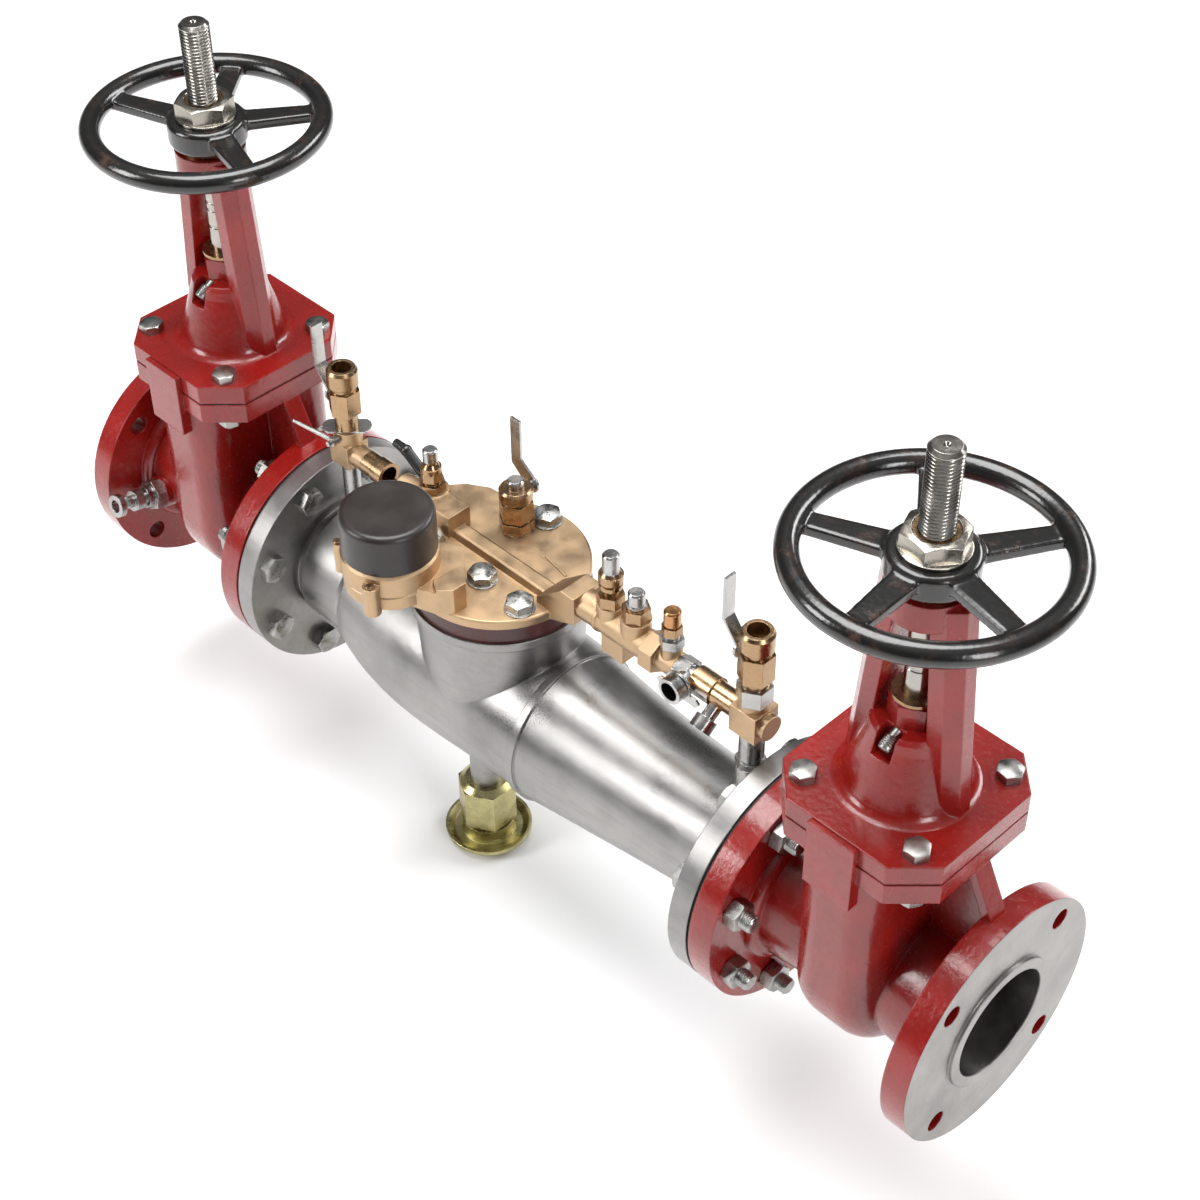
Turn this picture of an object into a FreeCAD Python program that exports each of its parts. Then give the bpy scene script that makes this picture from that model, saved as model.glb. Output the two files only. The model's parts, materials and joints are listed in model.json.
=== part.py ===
import FreeCAD, Part
import math
import os

import Sketcher
from FreeCAD import Placement, Rotation, Vector

# Reduced pressure detector assembly: two rising-stem gate valves, a stainless check body
# between them and a small bypass line with a meter. Millimetres. The pipe runs along X
# from the inlet face at x = 0, Z is up, and the meter is on the -Y side.

# Driving sizes: name, value, meaning
SIZES = [
    ("flange_dia", 228.6, "outside diameter of every pipe flange"),
    ("bolt_circle", 190.5, "bolt circle of every pipe flange"),
    ("bore_dia", 102, "clear bore of the valves"),
    ("valve_length", 229, "gate valve, face to face"),
    ("check_length", 587, "check body, face to face"),
    ("gasket_thick", 3, "joint gasket between two flanges"),
    ("valve_flange", 24, "thickness of a valve flange"),
    ("steel_flange", 20, "thickness of a check body flange"),
    ("pipe_hole", 19, "bolt hole of the two outer pipe flanges"),
    ("joint_hole", 17.5, "bolt hole of the two inner joints"),
    ("joint_bolt", 16, "joint bolt diameter"),
    ("joint_flats", 24, "joint bolt and nut across flats"),
    ("joint_head", 10, "joint bolt head height"),
    ("joint_nut", 13, "joint nut height"),
    ("joint_tail", 11, "joint bolt end past its nut"),
    # gate valve body
    ("neck_dia", 130, "valve neck beside its flange"),
    ("waist_dia", 122, "valve neck beside its barrel"),
    ("root_round", 9, "rounding between neck and flange"),
    ("barrel_wide", 158, "valve barrel across the pipe"),
    ("barrel_thick", 86, "valve barrel along the pipe"),
    ("barrel_round", 30, "rounding of the barrel edges"),
    ("bonnet_joint", 176, "height of the body's top face over the pipe axis"),
    ("body_plate", 20, "thickness of the body's top flange"),
    ("bonnet_gasket", 2, "bonnet gasket thickness"),
    ("bonnet_plate", 18, "thickness of the bonnet flange"),
    ("plate_x", 79, "bonnet flange, half size along the pipe"),
    ("plate_y", 82, "bonnet flange, half size across the pipe"),
    ("plate_corner", 30, "corner cut of the bonnet flange"),
    ("bonnet_bolt_place", 55.5, "bonnet bolts off the valve axis, both ways"),
    ("bonnet_bolt", 12, "bonnet bolt diameter"),
    ("bonnet_hole", 14, "bonnet bolt hole"),
    ("bonnet_flats", 20, "bonnet bolt across flats"),
    ("bonnet_head", 8.5, "bonnet bolt head height"),
    ("bonnet_nut", 10, "bonnet nut height"),
    ("rib_thick", 9, "web of the gusset rib"),
    ("rib_edge", 18, "width of the gusset rib's outer edge"),
    ("pad_wide", 46, "width of the cast pad on the front"),
    ("pad_proud", 6, "how far the cast pad stands out"),
    ("pad_drop", 46, "how far the cast pad runs down"),
    ("lip_dia", 122, "raised ring on the end face"),
    ("lip_proud", 3, "height of the raised ring"),
    # wedge and stem
    ("wedge_dia", 110, "wedge diameter"),
    ("wedge_thick", 42, "wedge thickness"),
    ("wedge_gap", 3, "room round the wedge in its chamber"),
    ("guide_proud", 3, "wedge guide past the wedge"),
    ("valve_travel", 107.95, "stem travel, 17 turns of 6.35 mm"),
    ("stem_smooth", 22, "stem diameter in the gland"),
    ("stem_thread", 27, "stem thread diameter"),
    ("stem_top", 517, "top of the open stem"),
    ("stem_step", 402, "where the open stem's thread starts"),
    ("stem_foot", 10, "depth of the stem in the wedge boss"),
    ("thread_gap", 0.1, "play between thread and nut"),
    ("slide_gap", 0.3, "play of a sliding or turning piece"),
    # bonnet with its yoke
    ("dome_dia", 116, "bonnet dome at its foot"),
    ("dome_top_dia", 66, "bonnet dome at its top"),
    ("dome_top", 263, "height of the dome's top face"),
    ("dome_round", 12, "rounding at the dome's foot"),
    ("dome_bore", 64, "room inside the dome"),
    ("dome_roof", 222, "height of that room"),
    ("arm_foot_out", 56, "outer side of a yoke arm at its foot"),
    ("arm_head_out", 39.5, "outer side of a yoke arm at its head"),
    ("arm_thick", 25, "yoke arm thickness along the pipe"),
    ("arm_deep", 34, "yoke arm width across the pipe"),
    ("arm_corner", 10.5, "corner cut of a yoke arm"),
    ("yoke_dia", 64, "yoke head diameter"),
    ("yoke_thick", 24, "yoke head thickness"),
    ("yoke_top", 397, "height of the yoke head's top"),
    ("notch_wide", 18, "notch in the dome for the lock screw"),
    ("notch_depth", 22, "depth of that notch"),
    # gland
    ("gland_flats", 36, "gland nut across flats"),
    ("gland_tall", 23, "gland nut height"),
    ("gland_sleeve", 30, "gland ring sleeve diameter"),
    ("gland_rim", 39, "gland ring rim diameter"),
    ("gland_rim_thick", 3, "gland ring rim thickness"),
    ("packing_depth", 22, "gland ring in the stuffing box"),
    ("lock_dia", 12.5, "lock screw diameter"),
    ("lock_long", 19, "lock screw length"),
    ("lock_seat", 6, "lock screw's thinner end in the dome"),
    # yoke nut and handwheel
    ("shank_dia", 42, "yoke nut shank"),
    ("collar_dia", 54, "yoke nut collar"),
    ("collar_thick", 4, "yoke nut collar thickness"),
    ("shank_below", 23, "yoke nut below its collar"),
    ("rim_height", 420.3, "height of the handwheel rim's centre"),
    ("rim_ring_dia", 204.8, "handwheel rim centre line"),
    ("rim_tube", 19, "handwheel rim thickness"),
    ("hub_dia", 72, "handwheel hub"),
    ("hub_thick", 25, "handwheel hub height"),
    ("spoke_hub_wide", 25, "spoke width at the hub"),
    ("spoke_rim_wide", 19, "spoke width at the rim"),
    ("spoke_thick", 10, "spoke thickness"),
    ("nose_dia", 34, "yoke nut nose in the handwheel nut"),
    ("wheel_nut_flats", 46, "handwheel nut across flats"),
    ("wheel_nut_rim", 54, "handwheel nut flange"),
    ("wheel_nut_rim_thick", 3, "handwheel nut flange thickness"),
    ("wheel_nut_tall", 18, "handwheel nut height"),
    # inlet test cock
    ("spigot_x", 45, "inlet test cock from the inlet face"),
    ("spigot_out", 68, "face of the test cock's boss from the pipe axis"),
    ("spigot_height", -20, "test cock's axis in its own tilted plane"),
    # check body
    ("neck_end", 318, "where the first neck meets the barrel"),
    ("steel_neck_dia", 124, "first neck diameter"),
    ("drum_start_dia", 132, "barrel where it starts"),
    ("drum_dia", 156, "barrel diameter"),
    ("drum_drop", 16, "barrel centre below the pipe axis"),
    ("drum_full", 410, "where the barrel reaches its full size"),
    ("drum_end", 566, "weld line behind the barrel"),
    ("drum_end_dia", 151, "barrel at the weld line"),
    ("taper_mid", 715, "middle of the long taper"),
    ("taper_mid_dia", 123, "taper diameter at its middle"),
    ("taper_mid_drop", 10.5, "taper centre below the axis at its middle"),
    ("taper_end_dia", 115, "taper at the second flange"),
    ("taper_end_drop", 2, "taper centre below the axis at the flange"),
    ("weld_wide", 8, "weld ring width"),
    ("weld_proud", 1.6, "weld ring height"),
    ("chamber_dia", 126, "room inside the barrel"),
    ("chamber_start", 330, "start of that room"),
    ("chamber_end", 596, "end of that room"),
    ("bulkhead_end", 612, "end of the wall that holds the second check"),
    ("taper_wall", 5, "wall of the long taper"),
    # cover
    ("cover_x", 480, "cover centre along the pipe"),
    ("cover_dia", 164, "cover diameter"),
    ("cover_thick", 9, "cover thickness"),
    ("cover_top", 132, "height of the cover's top face"),
    ("ring_thick", 18, "cover ring thickness"),
    ("ring_dia", 160, "cover ring diameter"),
    ("lip_steel_dia", 165, "steel lip under the ring"),
    ("lip_steel_thick", 9, "steel lip thickness"),
    ("branch_top_dia", 158, "vertical neck under the lip"),
    ("branch_foot_dia", 140, "vertical neck at the pipe axis"),
    ("access_dia", 114, "access opening under the cover"),
    ("rib_wide", 15, "channel rib on the cover"),
    ("rib_tall", 7, "height of the channel rib"),
    ("cover_flats", 23, "cover bolt across flats"),
    ("cover_bolt", 16, "cover bolt diameter"),
    ("cover_head", 9, "cover bolt head height"),
    ("washer_dia", 27.5, "cover bolt washer"),
    ("washer_thick", 1.5, "cover bolt washer thickness"),
    # bypass line
    ("bypass_height", 150, "height of the manifold over the pipe axis"),
    ("inlet_column", 276, "bypass inlet column along the pipe"),
    ("inlet_branch_height", 142, "height of the inlet tee's branch"),
    ("outlet_column", 782, "bypass outlet column along the pipe"),
    ("boss_top", 70, "top of the weld bosses on the check body"),
    ("boss_dia", 30, "weld boss diameter"),
    ("riser_dia", 17, "inlet riser tube"),
    ("pipe_bore", 11, "bore of the bypass pieces"),
    ("tee_side", 25, "inlet tee block"),
    ("outlet_tee_side", 28, "outlet tee block"),
    ("branch_dia", 22, "inlet tee branch"),
    ("sleeve_dia", 25, "bypass sleeve"),
    ("sleeve_end", 350, "end of the bypass sleeve"),
    ("stop_neck_dia", 22, "shutoff neck"),
    ("stop_spigot", 15, "shutoff end that passes the wing plate"),
    ("wing_thick", 2, "wing plate thickness"),
    ("stop_flats", 27, "shutoff hex"),
    ("stop_cap_dia", 29, "shutoff cap"),
    ("stop_cap_bore", 18.5, "open mouth of the shutoff cap"),
    ("stop_cap_deep", 17, "depth of that mouth"),
    ("lever_wide", 12, "chrome lever width"),
    ("lever_thick", 2.6, "chrome lever thickness"),
    ("manifold_dia", 28, "manifold bar"),
    ("manifold_start", 590, "start of the manifold bar"),
    ("manifold_end", 700, "end of the manifold bar"),
    ("drain_port_dia", 24, "drain port"),
    # meter
    ("meter_x", 435, "meter axis along the pipe"),
    ("meter_y", -86, "meter axis across the pipe"),
    ("meter_dia", 87, "meter body diameter"),
    ("meter_tall", 42, "meter body height"),
    ("cap_dia", 84, "meter cap diameter"),
    ("cap_tall", 41, "meter cap height"),
    ("cap_wall", 3, "meter cap wall"),
    ("cap_round", 6, "meter cap edge rounding"),
    ("ear_tall", 27, "height of the meter's ear"),
    # relief fitting
    ("relief_x", 446, "relief fitting along the pipe"),
    ("nipple_dia", 31, "relief nipple"),
    ("nipple_end", -171, "lower end of the relief nipple"),
    ("relief_flats", 51, "relief body across flats"),
    ("relief_tall", 51, "relief body hex height"),
    ("relief_bore", 28, "relief body bore"),
    ("dish_dia", 86, "relief dish"),
    ("dish_thick", 6, "relief dish thickness"),
    # checks
    ("seat_bore", 72, "check seat opening"),
    ("seat_thick", 13, "check seat ring"),
    ("disc_dia", 84, "check disc"),
    ("disc_thick", 9, "check disc thickness"),
    ("check_travel", 16, "check disc travel"),
    ("guide_dia", 12, "check disc stem"),
    ("cage_long", 56, "check cage length past the seat"),
    ("relief_travel", 5, "relief poppet travel"),
]

doc = FreeCAD.newDocument("ReducedPressureDetectorAssembly")


class Dim:
    """A size: its number, for drawing, and its spreadsheet formula, for binding."""

    def __init__(self, value, formula=None):
        self.value = float(value)
        self.formula = formula or "(%s)" % repr(round(float(value), 6))

    def __add__(self, other):
        other = dim(other)
        return Dim(self.value + other.value, "(%s + %s)" % (self.formula, other.formula))

    def __sub__(self, other):
        other = dim(other)
        return Dim(self.value - other.value, "(%s - %s)" % (self.formula, other.formula))

    def __mul__(self, other):
        other = dim(other)
        return Dim(self.value * other.value, "(%s * %s)" % (self.formula, other.formula))

    def __truediv__(self, other):
        other = dim(other)
        return Dim(self.value / other.value, "(%s / %s)" % (self.formula, other.formula))

    def __neg__(self):
        return Dim(0) - self

    def __radd__(self, other):
        return dim(other) + self

    def __rsub__(self, other):
        return dim(other) - self

    def __rmul__(self, other):
        return dim(other) * self


def dim(value):
    return value if isinstance(value, Dim) else Dim(value)


def make_sheet():
    """Write every driving size to the spreadsheet and return them by name."""
    sheet = doc.addObject("Spreadsheet::Sheet", "Sizes")
    sizes = {}
    for row, (name, value, meaning) in enumerate(SIZES, start=1):
        sheet.set("A%d" % row, name)
        sheet.set("B%d" % row, str(value))
        sheet.set("C%d" % row, meaning)
        sheet.setAlias("B%d" % row, name)
        sizes[name] = Dim(value, "Sizes." + name)
    doc.recompute()
    return sizes


size = make_sheet()

# Places along the pipe, worked out from the driving sizes
half_valve = size["valve_length"] / 2
body_start = size["valve_length"] + size["gasket_thick"]
body_end = body_start + size["check_length"]
inlet_axis = half_valve
outlet_axis = body_end + size["gasket_thick"] + half_valve
middle = (inlet_axis + outlet_axis) / 2

# Heights of the valve, over the pipe axis
bonnet_base = size["bonnet_joint"] + size["bonnet_gasket"]
bonnet_top = bonnet_base + size["bonnet_plate"]
gland_top = size["dome_top"] + size["gland_tall"]
collar_low = size["yoke_top"] + size["slide_gap"]
hub_low = collar_low + size["collar_thick"]
hub_high = hub_low + size["hub_thick"]

# Heights of the cover stack
cover_low = size["cover_top"] - size["cover_thick"]
ring_low = cover_low - size["ring_thick"]
lip_low = ring_low - size["lip_steel_thick"]

SPIGOT_TILT = 13
LOCK_TILT = 30
ALONG_X = Rotation(Vector(0, 0, 1), Vector(1, 0, 0))
UPRIGHT = Rotation()
NODES = []


def bind(thing, path, length):
    thing.setExpression(path, dim(length).formula)


def place(thing, x=0, y=0, z=0, turn=UPRIGHT):
    """Put an object at a bound place, turned by a fixed rotation."""
    thing.Placement = Placement(Vector(0, 0, 0), turn)
    for axis, length in zip("xyz", (x, y, z)):
        bind(thing, "Placement.Base." + axis, length)


def node(thing, label):
    """Name a finished sub-part; its label also names its file."""
    thing.Label = label
    NODES.append(thing)
    return thing


# Sketches


def new_body(name):
    return doc.addObject("PartDesign::Body", name)


def origin_plane(body, axes):
    role = axes + "_Plane"
    return next(item for item in body.Origin.OriginFeatures if item.Role == role)


def new_sketch(body, axes, offset=None, tilt=0):
    """Sketch on one of the body's own planes, tilted about its x and moved along its normal."""
    sketch = body.newObject("Sketcher::SketchObject", "Sketch")
    sketch.AttachmentSupport = [(origin_plane(body, axes), "")]
    sketch.MapMode = "FlatFace"
    if tilt:
        turn = math.radians(tilt)
        sketch.AttachmentOffset = Placement(Vector(0, 0, 0), Rotation(Vector(1, 0, 0), tilt))
        bind(sketch, "AttachmentOffset.Base.y", dim(offset) * -math.sin(turn))
        offset = dim(offset) * math.cos(turn)
    if offset is not None:
        bind(sketch, "AttachmentOffset.Base.z", offset)
    return sketch


def point_rules(geometry, end, x, y):
    """Constraints that hold one point, with the formulas that drive them."""
    rules = []
    for kind, axis, length in (("DistanceX", -2, x), ("DistanceY", -1, y)):
        if abs(length.value) < 1e-9:
            rules.append((Sketcher.Constraint("PointOnObject", geometry, end, axis), None))
        else:
            rule = Sketcher.Constraint(kind, -1, 1, geometry, end, length.value)
            rules.append((rule, length))
    return rules


def apply_rules(sketch, rules):
    numbers = sketch.addConstraint([rule for rule, length in rules])
    for number, (rule, length) in zip(numbers, rules):
        if length is not None:
            sketch.setExpression("Constraints[%d]" % number, length.formula)


def draw_circle(sketch, x, y, radius):
    x, y, radius = dim(x), dim(y), dim(radius)
    circle = Part.Circle(Vector(x.value, y.value, 0), Vector(0, 0, 1), radius.value)
    index = sketch.addGeometry(circle)
    rules = point_rules(index, 3, x, y)
    rules.append((Sketcher.Constraint("Radius", index, radius.value), radius))
    apply_rules(sketch, rules)


def arc_between(start, end, radius):
    """Arc from start to end; a positive radius bulges to the right of the way there."""
    chord = end - start
    half = chord.Length / 2
    side = 1 if radius > 0 else -1
    left = Vector(-chord.y, chord.x, 0).normalize()
    rise = math.sqrt(max(radius * radius - half * half, 0))
    centre = (start + end) * 0.5 + left * rise * side
    circle = Part.Circle(centre, Vector(0, 0, 1), abs(radius))
    first, last = (start, end) if side > 0 else (end, start)
    low = math.atan2(first.y - centre.y, first.x - centre.x)
    high = math.atan2(last.y - centre.y, last.x - centre.x)
    if high < low:
        high += 2 * math.pi
    return Part.ArcOfCircle(circle, low, high), side > 0


def half_circle_rule(index, start, end):
    """A half circle's centre lies level with its ends, which says more than its radius."""
    kind = "Horizontal" if abs(start.y - end.y) < 1e-6 else "Vertical"
    return Sketcher.Constraint(kind, index, 1, index, 3)


def draw_outline(sketch, corners):
    """Closed outline. A corner is (x, y), or (x, y, radius) when an arc leads to the next."""
    points = [Vector(dim(c[0]).value, dim(c[1]).value, 0) for c in corners]
    edges = []
    rules = []
    for number, corner in enumerate(corners):
        start, end = points[number], points[(number + 1) % len(points)]
        forward = True
        if len(corner) > 2:
            radius = dim(corner[2])
            shape, forward = arc_between(start, end, radius.value)
            index = sketch.addGeometry(shape)
            size_of = radius if radius.value > 0 else -radius
            if abs(size_of.value * 2 - (end - start).Length) < 1e-6:
                rules.append((half_circle_rule(index, start, end), None))
            else:
                rules.append((Sketcher.Constraint("Radius", index, size_of.value), size_of))
        else:
            index = sketch.addGeometry(Part.LineSegment(start, end))
        edges.append((index, 1 if forward else 2, 2 if forward else 1))
    for number, corner in enumerate(corners):
        index, start_end, other_end = edges[number]
        next_index, next_start, next_other = edges[(number + 1) % len(edges)]
        joint = Sketcher.Constraint("Coincident", index, other_end, next_index, next_start)
        rules.append((joint, None))
        rules.extend(point_rules(index, start_end, dim(corner[0]), dim(corner[1])))
    apply_rules(sketch, rules)


def hex_corners(flats, x=0, y=0, turned=0):
    """Corners of a hexagon of bound width across flats."""
    radius = dim(flats) / math.sqrt(3)
    corners = []
    for number in range(6):
        angle = math.radians(60 * number + turned)
        corners.append((x + radius * math.cos(angle), y + radius * math.sin(angle)))
    return corners


# Features


def pad(body, sketch, length, both_ways=False):
    feature = body.newObject("PartDesign::Pad", "Pad")
    feature.Profile = sketch
    bind(feature, "Length", length)
    if both_ways:
        feature.SideType = "Symmetric"
    return feature


def pocket(body, sketch, length):
    """Cut evenly to both sides of the sketch."""
    feature = body.newObject("PartDesign::Pocket", "Pocket")
    feature.Profile = sketch
    bind(feature, "Length", length)
    feature.SideType = "Symmetric"
    return feature


def revolve(body, sketch, axis="V_Axis"):
    feature = body.newObject("PartDesign::Revolution", "Revolution")
    feature.Profile = sketch
    feature.ReferenceAxis = (sketch, [axis])
    feature.Angle = 360
    return feature


def groove(body, sketch, axis="V_Axis"):
    feature = body.newObject("PartDesign::Groove", "Groove")
    feature.Profile = sketch
    feature.ReferenceAxis = (sketch, [axis])
    feature.Angle = 360
    return feature


def ring_of(body, features, sketch, count, angle=360):
    """Repeat features round the normal of a sketch."""
    pattern = body.newObject("PartDesign::PolarPattern", "PolarPattern")
    pattern.Originals = features
    pattern.Axis = (sketch, ["N_Axis"])
    pattern.Angle = angle
    pattern.Occurrences = count
    body.Tip = pattern
    return pattern


def mirror(body, features, axes):
    mirrored = body.newObject("PartDesign::Mirrored", "Mirrored")
    mirrored.Originals = features
    mirrored.MirrorPlane = (origin_plane(body, axes), [""])
    body.Tip = mirrored
    return mirrored


def loft(body, sections):
    feature = body.newObject("PartDesign::AdditiveLoft", "Loft")
    feature.Profile = sections[0]
    feature.Sections = sections[1:]
    return feature


def fillet(body, base, edges, radius):
    feature = body.newObject("PartDesign::Fillet", "Fillet")
    feature.Base = (base, edges)
    bind(feature, "Radius", radius)
    return feature


def pick_edges(feature, wanted):
    """Names of the feature's edges for which wanted(edge) is true."""
    doc.recompute()
    return ["Edge%d" % n for n, edge in enumerate(feature.Shape.Edges, start=1) if wanted(edge)]


def turned_body(label, profile, x=0, y=0, z=0, turn=UPRIGHT):
    """A piece turned round its own Z from (radius, height) corners."""
    body = new_body(label)
    sketch = new_sketch(body, "XZ")
    draw_outline(sketch, profile)
    revolve(body, sketch)
    place(body, x, y, z, turn)
    return node(body, label)


# Plumbing pieces: a stack of turned and hexagonal lengths along one axis, with its bores


def stack_solids(stack):
    """Primitives of a stack given as (kind, width, length) or ("cone", width, width, length)."""
    solids = []
    height = dim(0)
    for item in stack:
        kind, length = item[0], dim(item[-1])
        if kind == "gap":
            height = height + length
            continue
        if kind == "hex":
            solid = doc.addObject("Part::Prism", "Hex")
            solid.Polygon = 6
            solid.Placement = Placement(Vector(0, 0, 0), Rotation(Vector(0, 0, 1), 30))
            bind(solid, "Circumradius", dim(item[1]) / math.sqrt(3))
        elif kind == "cone":
            solid = doc.addObject("Part::Cone", "Taper")
            bind(solid, "Radius1", dim(item[1]) / 2)
            bind(solid, "Radius2", dim(item[2]) / 2)
        else:
            solid = doc.addObject("Part::Cylinder", "Round")
            bind(solid, "Radius", dim(item[1]) / 2)
        bind(solid, "Height", length)
        bind(solid, "Placement.Base.z", height)
        solids.append(solid)
        height = height + length
    return solids


def joined(solids):
    if len(solids) == 1:
        return solids[0]
    whole = doc.addObject("Part::MultiFuse", "Joined")
    whole.Shapes = solids
    whole.Refine = True
    return whole


def less(base, tools):
    cut = doc.addObject("Part::Cut", "Less")
    cut.Base = base
    cut.Tool = joined(tools)
    cut.Refine = True
    return cut


def fitting(label, stack, bores=(), x=0, y=0, z=0, turn=UPRIGHT, extras=()):
    """A plumbing piece. A bore is (diameter, start, length) along the stack."""
    whole = joined(stack_solids(stack) + list(extras))
    holes = []
    for diameter, start, length in bores:
        hole = doc.addObject("Part::Cylinder", "Bore")
        bind(hole, "Radius", dim(diameter) / 2)
        bind(hole, "Height", length)
        bind(hole, "Placement.Base.z", start)
        holes.append(hole)
    if holes:
        whole = less(whole, holes)
    place(whole, x, y, z, turn)
    return node(whole, label)


def block(long, deep, tall, x=0, y=0, z=0):
    """Box centred on x and y, standing on z."""
    box = doc.addObject("Part::Box", "Block")
    bind(box, "Length", long)
    bind(box, "Width", deep)
    bind(box, "Height", tall)
    place(box, dim(x) - dim(long) / 2, dim(y) - dim(deep) / 2, z)
    return box


def rod(diameter, length, x=0, y=0, z=0, turn=UPRIGHT, end_diameter=None):
    """Round bar, or a taper when its end diameter is given."""
    kind = "Part::Cone" if end_diameter is not None else "Part::Cylinder"
    bar = doc.addObject(kind, "Rod")
    if end_diameter is None:
        bind(bar, "Radius", dim(diameter) / 2)
    else:
        bind(bar, "Radius1", dim(diameter) / 2)
        bind(bar, "Radius2", dim(end_diameter) / 2)
    bind(bar, "Height", length)
    place(bar, x, y, z, turn)
    return bar


def ball(diameter, x=0, y=0, z=0):
    ball = doc.addObject("Part::Sphere", "Ball")
    bind(ball, "Radius", dim(diameter) / 2)
    place(ball, x, y, z)
    return ball


# Gate valves


def plate_corners(inset=0):
    """Outline of the bonnet flange: a square with its corners cut."""
    x = size["plate_x"] - inset
    y = size["plate_y"] - inset
    cut = size["plate_corner"] - dim(inset) * 0.6
    return [
        (x, -(y - cut)),
        (x, y - cut),
        (x - cut, y),
        (-(x - cut), y),
        (-x, y - cut),
        (-x, -(y - cut)),
        (-(x - cut), -y),
        (x - cut, -y),
    ]


def bonnet_holes(body, plane_height, depth, features_after=None):
    sketch = new_sketch(body, "XY", plane_height)
    spot = size["bonnet_bolt_place"]
    for sign_x, sign_y in ((1, 1), (-1, 1), (-1, -1), (1, -1)):
        draw_circle(sketch, spot * sign_x, spot * sign_y, size["bonnet_hole"] / 2)
    return pocket(body, sketch, depth)


def valve_body(prefix, axis_x, end):
    """Red casting. The end side (-1 or 1) is the one away from the check body."""
    body = new_body(prefix + "_valve_body")
    # barrel: round-bottomed, open at the top
    half = size["barrel_wide"] / 2
    plate_low = size["bonnet_joint"] - size["body_plate"]
    sketch = new_sketch(body, "YZ")
    top = size["bonnet_joint"] - size["body_plate"] / 2
    draw_outline(sketch, [(-half, 0, half), (half, 0), (half, top), (-half, top)])
    barrel = pad(body, sketch, size["barrel_thick"], both_ways=True)
    face = size["barrel_thick"].value / 2
    lid = top.value
    edges = pick_edges(barrel, lambda e: abs(abs(e.BoundBox.XMin) - face) < 0.01
                       and e.BoundBox.XLength < 0.01 and e.BoundBox.ZMin < lid - 0.01)
    fillet(body, barrel, edges, size["barrel_round"])
    # necks and end flanges
    sketch = new_sketch(body, "XZ")
    rim = size["flange_dia"] / 2
    neck = size["neck_dia"] / 2
    root = half_valve - size["valve_flange"]
    blend = size["root_round"]
    waist = size["barrel_thick"] / 2 - 8
    draw_outline(sketch, [
        (-half_valve, 0), (half_valve, 0), (half_valve, rim), (root, rim),
        (root, neck + blend, blend), (root - blend, neck), (waist, size["waist_dia"] / 2),
        (-waist, size["waist_dia"] / 2), (-(root - blend), neck, blend),
        (-root, neck + blend), (-root, rim), (-half_valve, rim)])
    revolve(body, sketch, "H_Axis")
    # raised ring round the open end's bore
    sketch = new_sketch(body, "YZ", half_valve * end)
    draw_circle(sketch, 0, 0, size["lip_dia"] / 2)
    pad(body, sketch, size["lip_proud"] * 2, both_ways=True)
    # top flange
    sketch = new_sketch(body, "XY", plate_low)
    draw_outline(sketch, plate_corners())
    pad(body, sketch, size["body_plate"])
    # cast pad that runs up in front of both flanges
    sketch = new_sketch(body, "XZ", size["plate_y"] + size["slide_gap"])
    wide = size["pad_wide"] / 2
    low = size["bonnet_joint"] - size["pad_drop"]
    draw_outline(sketch, [(-wide, low), (wide, low), (wide, bonnet_top - 1), (-wide, bonnet_top - 1)])
    pad(body, sketch, size["pad_proud"] - size["slide_gap"])
    sketch = new_sketch(body, "XZ", size["barrel_wide"] / 2 - 4)
    draw_outline(sketch, [(-wide, low), (wide, low), (wide, plate_low + 4), (-wide, plate_low + 4)])
    pad(body, sketch, size["plate_y"] - size["barrel_wide"] / 2 + 5)
    gusset_ribs(body, plate_low)
    if prefix == "inlet":
        # tapped boss of the test cock
        sketch = new_sketch(body, "XZ", size["spigot_out"] - 14, -SPIGOT_TILT)
        draw_circle(sketch, size["spigot_x"] - half_valve, size["spigot_height"], dim(16))
        pad(body, sketch, dim(14))
    # bore, wedge chamber and bolt holes
    sketch = new_sketch(body, "YZ")
    draw_circle(sketch, 0, 0, size["bore_dia"] / 2)
    pocket(body, sketch, size["valve_length"] + size["lip_proud"] * 4)
    room = size["wedge_dia"] / 2 + size["guide_proud"] + size["wedge_gap"]
    sketch = new_sketch(body, "YZ")
    draw_outline(sketch, [(-room, 0, room), (room, 0), (room, size["bonnet_joint"] + 1),
                          (-room, size["bonnet_joint"] + 1)])
    pocket(body, sketch, size["wedge_thick"] + size["wedge_gap"] * 2)
    flange_mid = half_valve - size["valve_flange"] / 2
    flange_holes(body, flange_mid * end, 4, 45, size["valve_flange"], size["pipe_hole"])
    flange_holes(body, flange_mid * -end, 8, 22.5, size["valve_flange"], size["joint_hole"])
    last = bonnet_holes(body, plate_low + size["body_plate"] / 2, size["body_plate"] + 2)
    body.Tip = last
    place(body, axis_x)
    return node(body, prefix + "_valve_body")


def gusset_ribs(body, plate_low):
    """Webs from the top flange down to both end flanges, each with a wider outer edge."""
    low = size["waist_dia"] / 2 - 6
    inner = size["barrel_thick"] / 2 - 8
    outer = size["plate_x"]
    flange_x = half_valve - size["valve_flange"] / 2
    flange_z = size["flange_dia"] / 2 - 5
    edge = 9
    webs = []
    for sign in (-1, 1):
        sketch = new_sketch(body, "XZ")
        draw_outline(sketch, [(inner * sign, low), (flange_x * sign, low), (flange_x * sign, flange_z),
                              ((outer - 2) * sign, plate_low + 4), (inner * sign, plate_low + 4)])
        webs.append(pad(body, sketch, size["rib_thick"], both_ways=True))
        sketch = new_sketch(body, "XZ")
        draw_outline(sketch, [((flange_x - edge) * sign, flange_z - 4), (flange_x * sign, flange_z),
                              ((outer - 2) * sign, plate_low + 4),
                              ((outer - 2 - edge) * sign, plate_low + 4)])
        webs.append(pad(body, sketch, size["rib_edge"], both_ways=True))
    return webs


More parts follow.
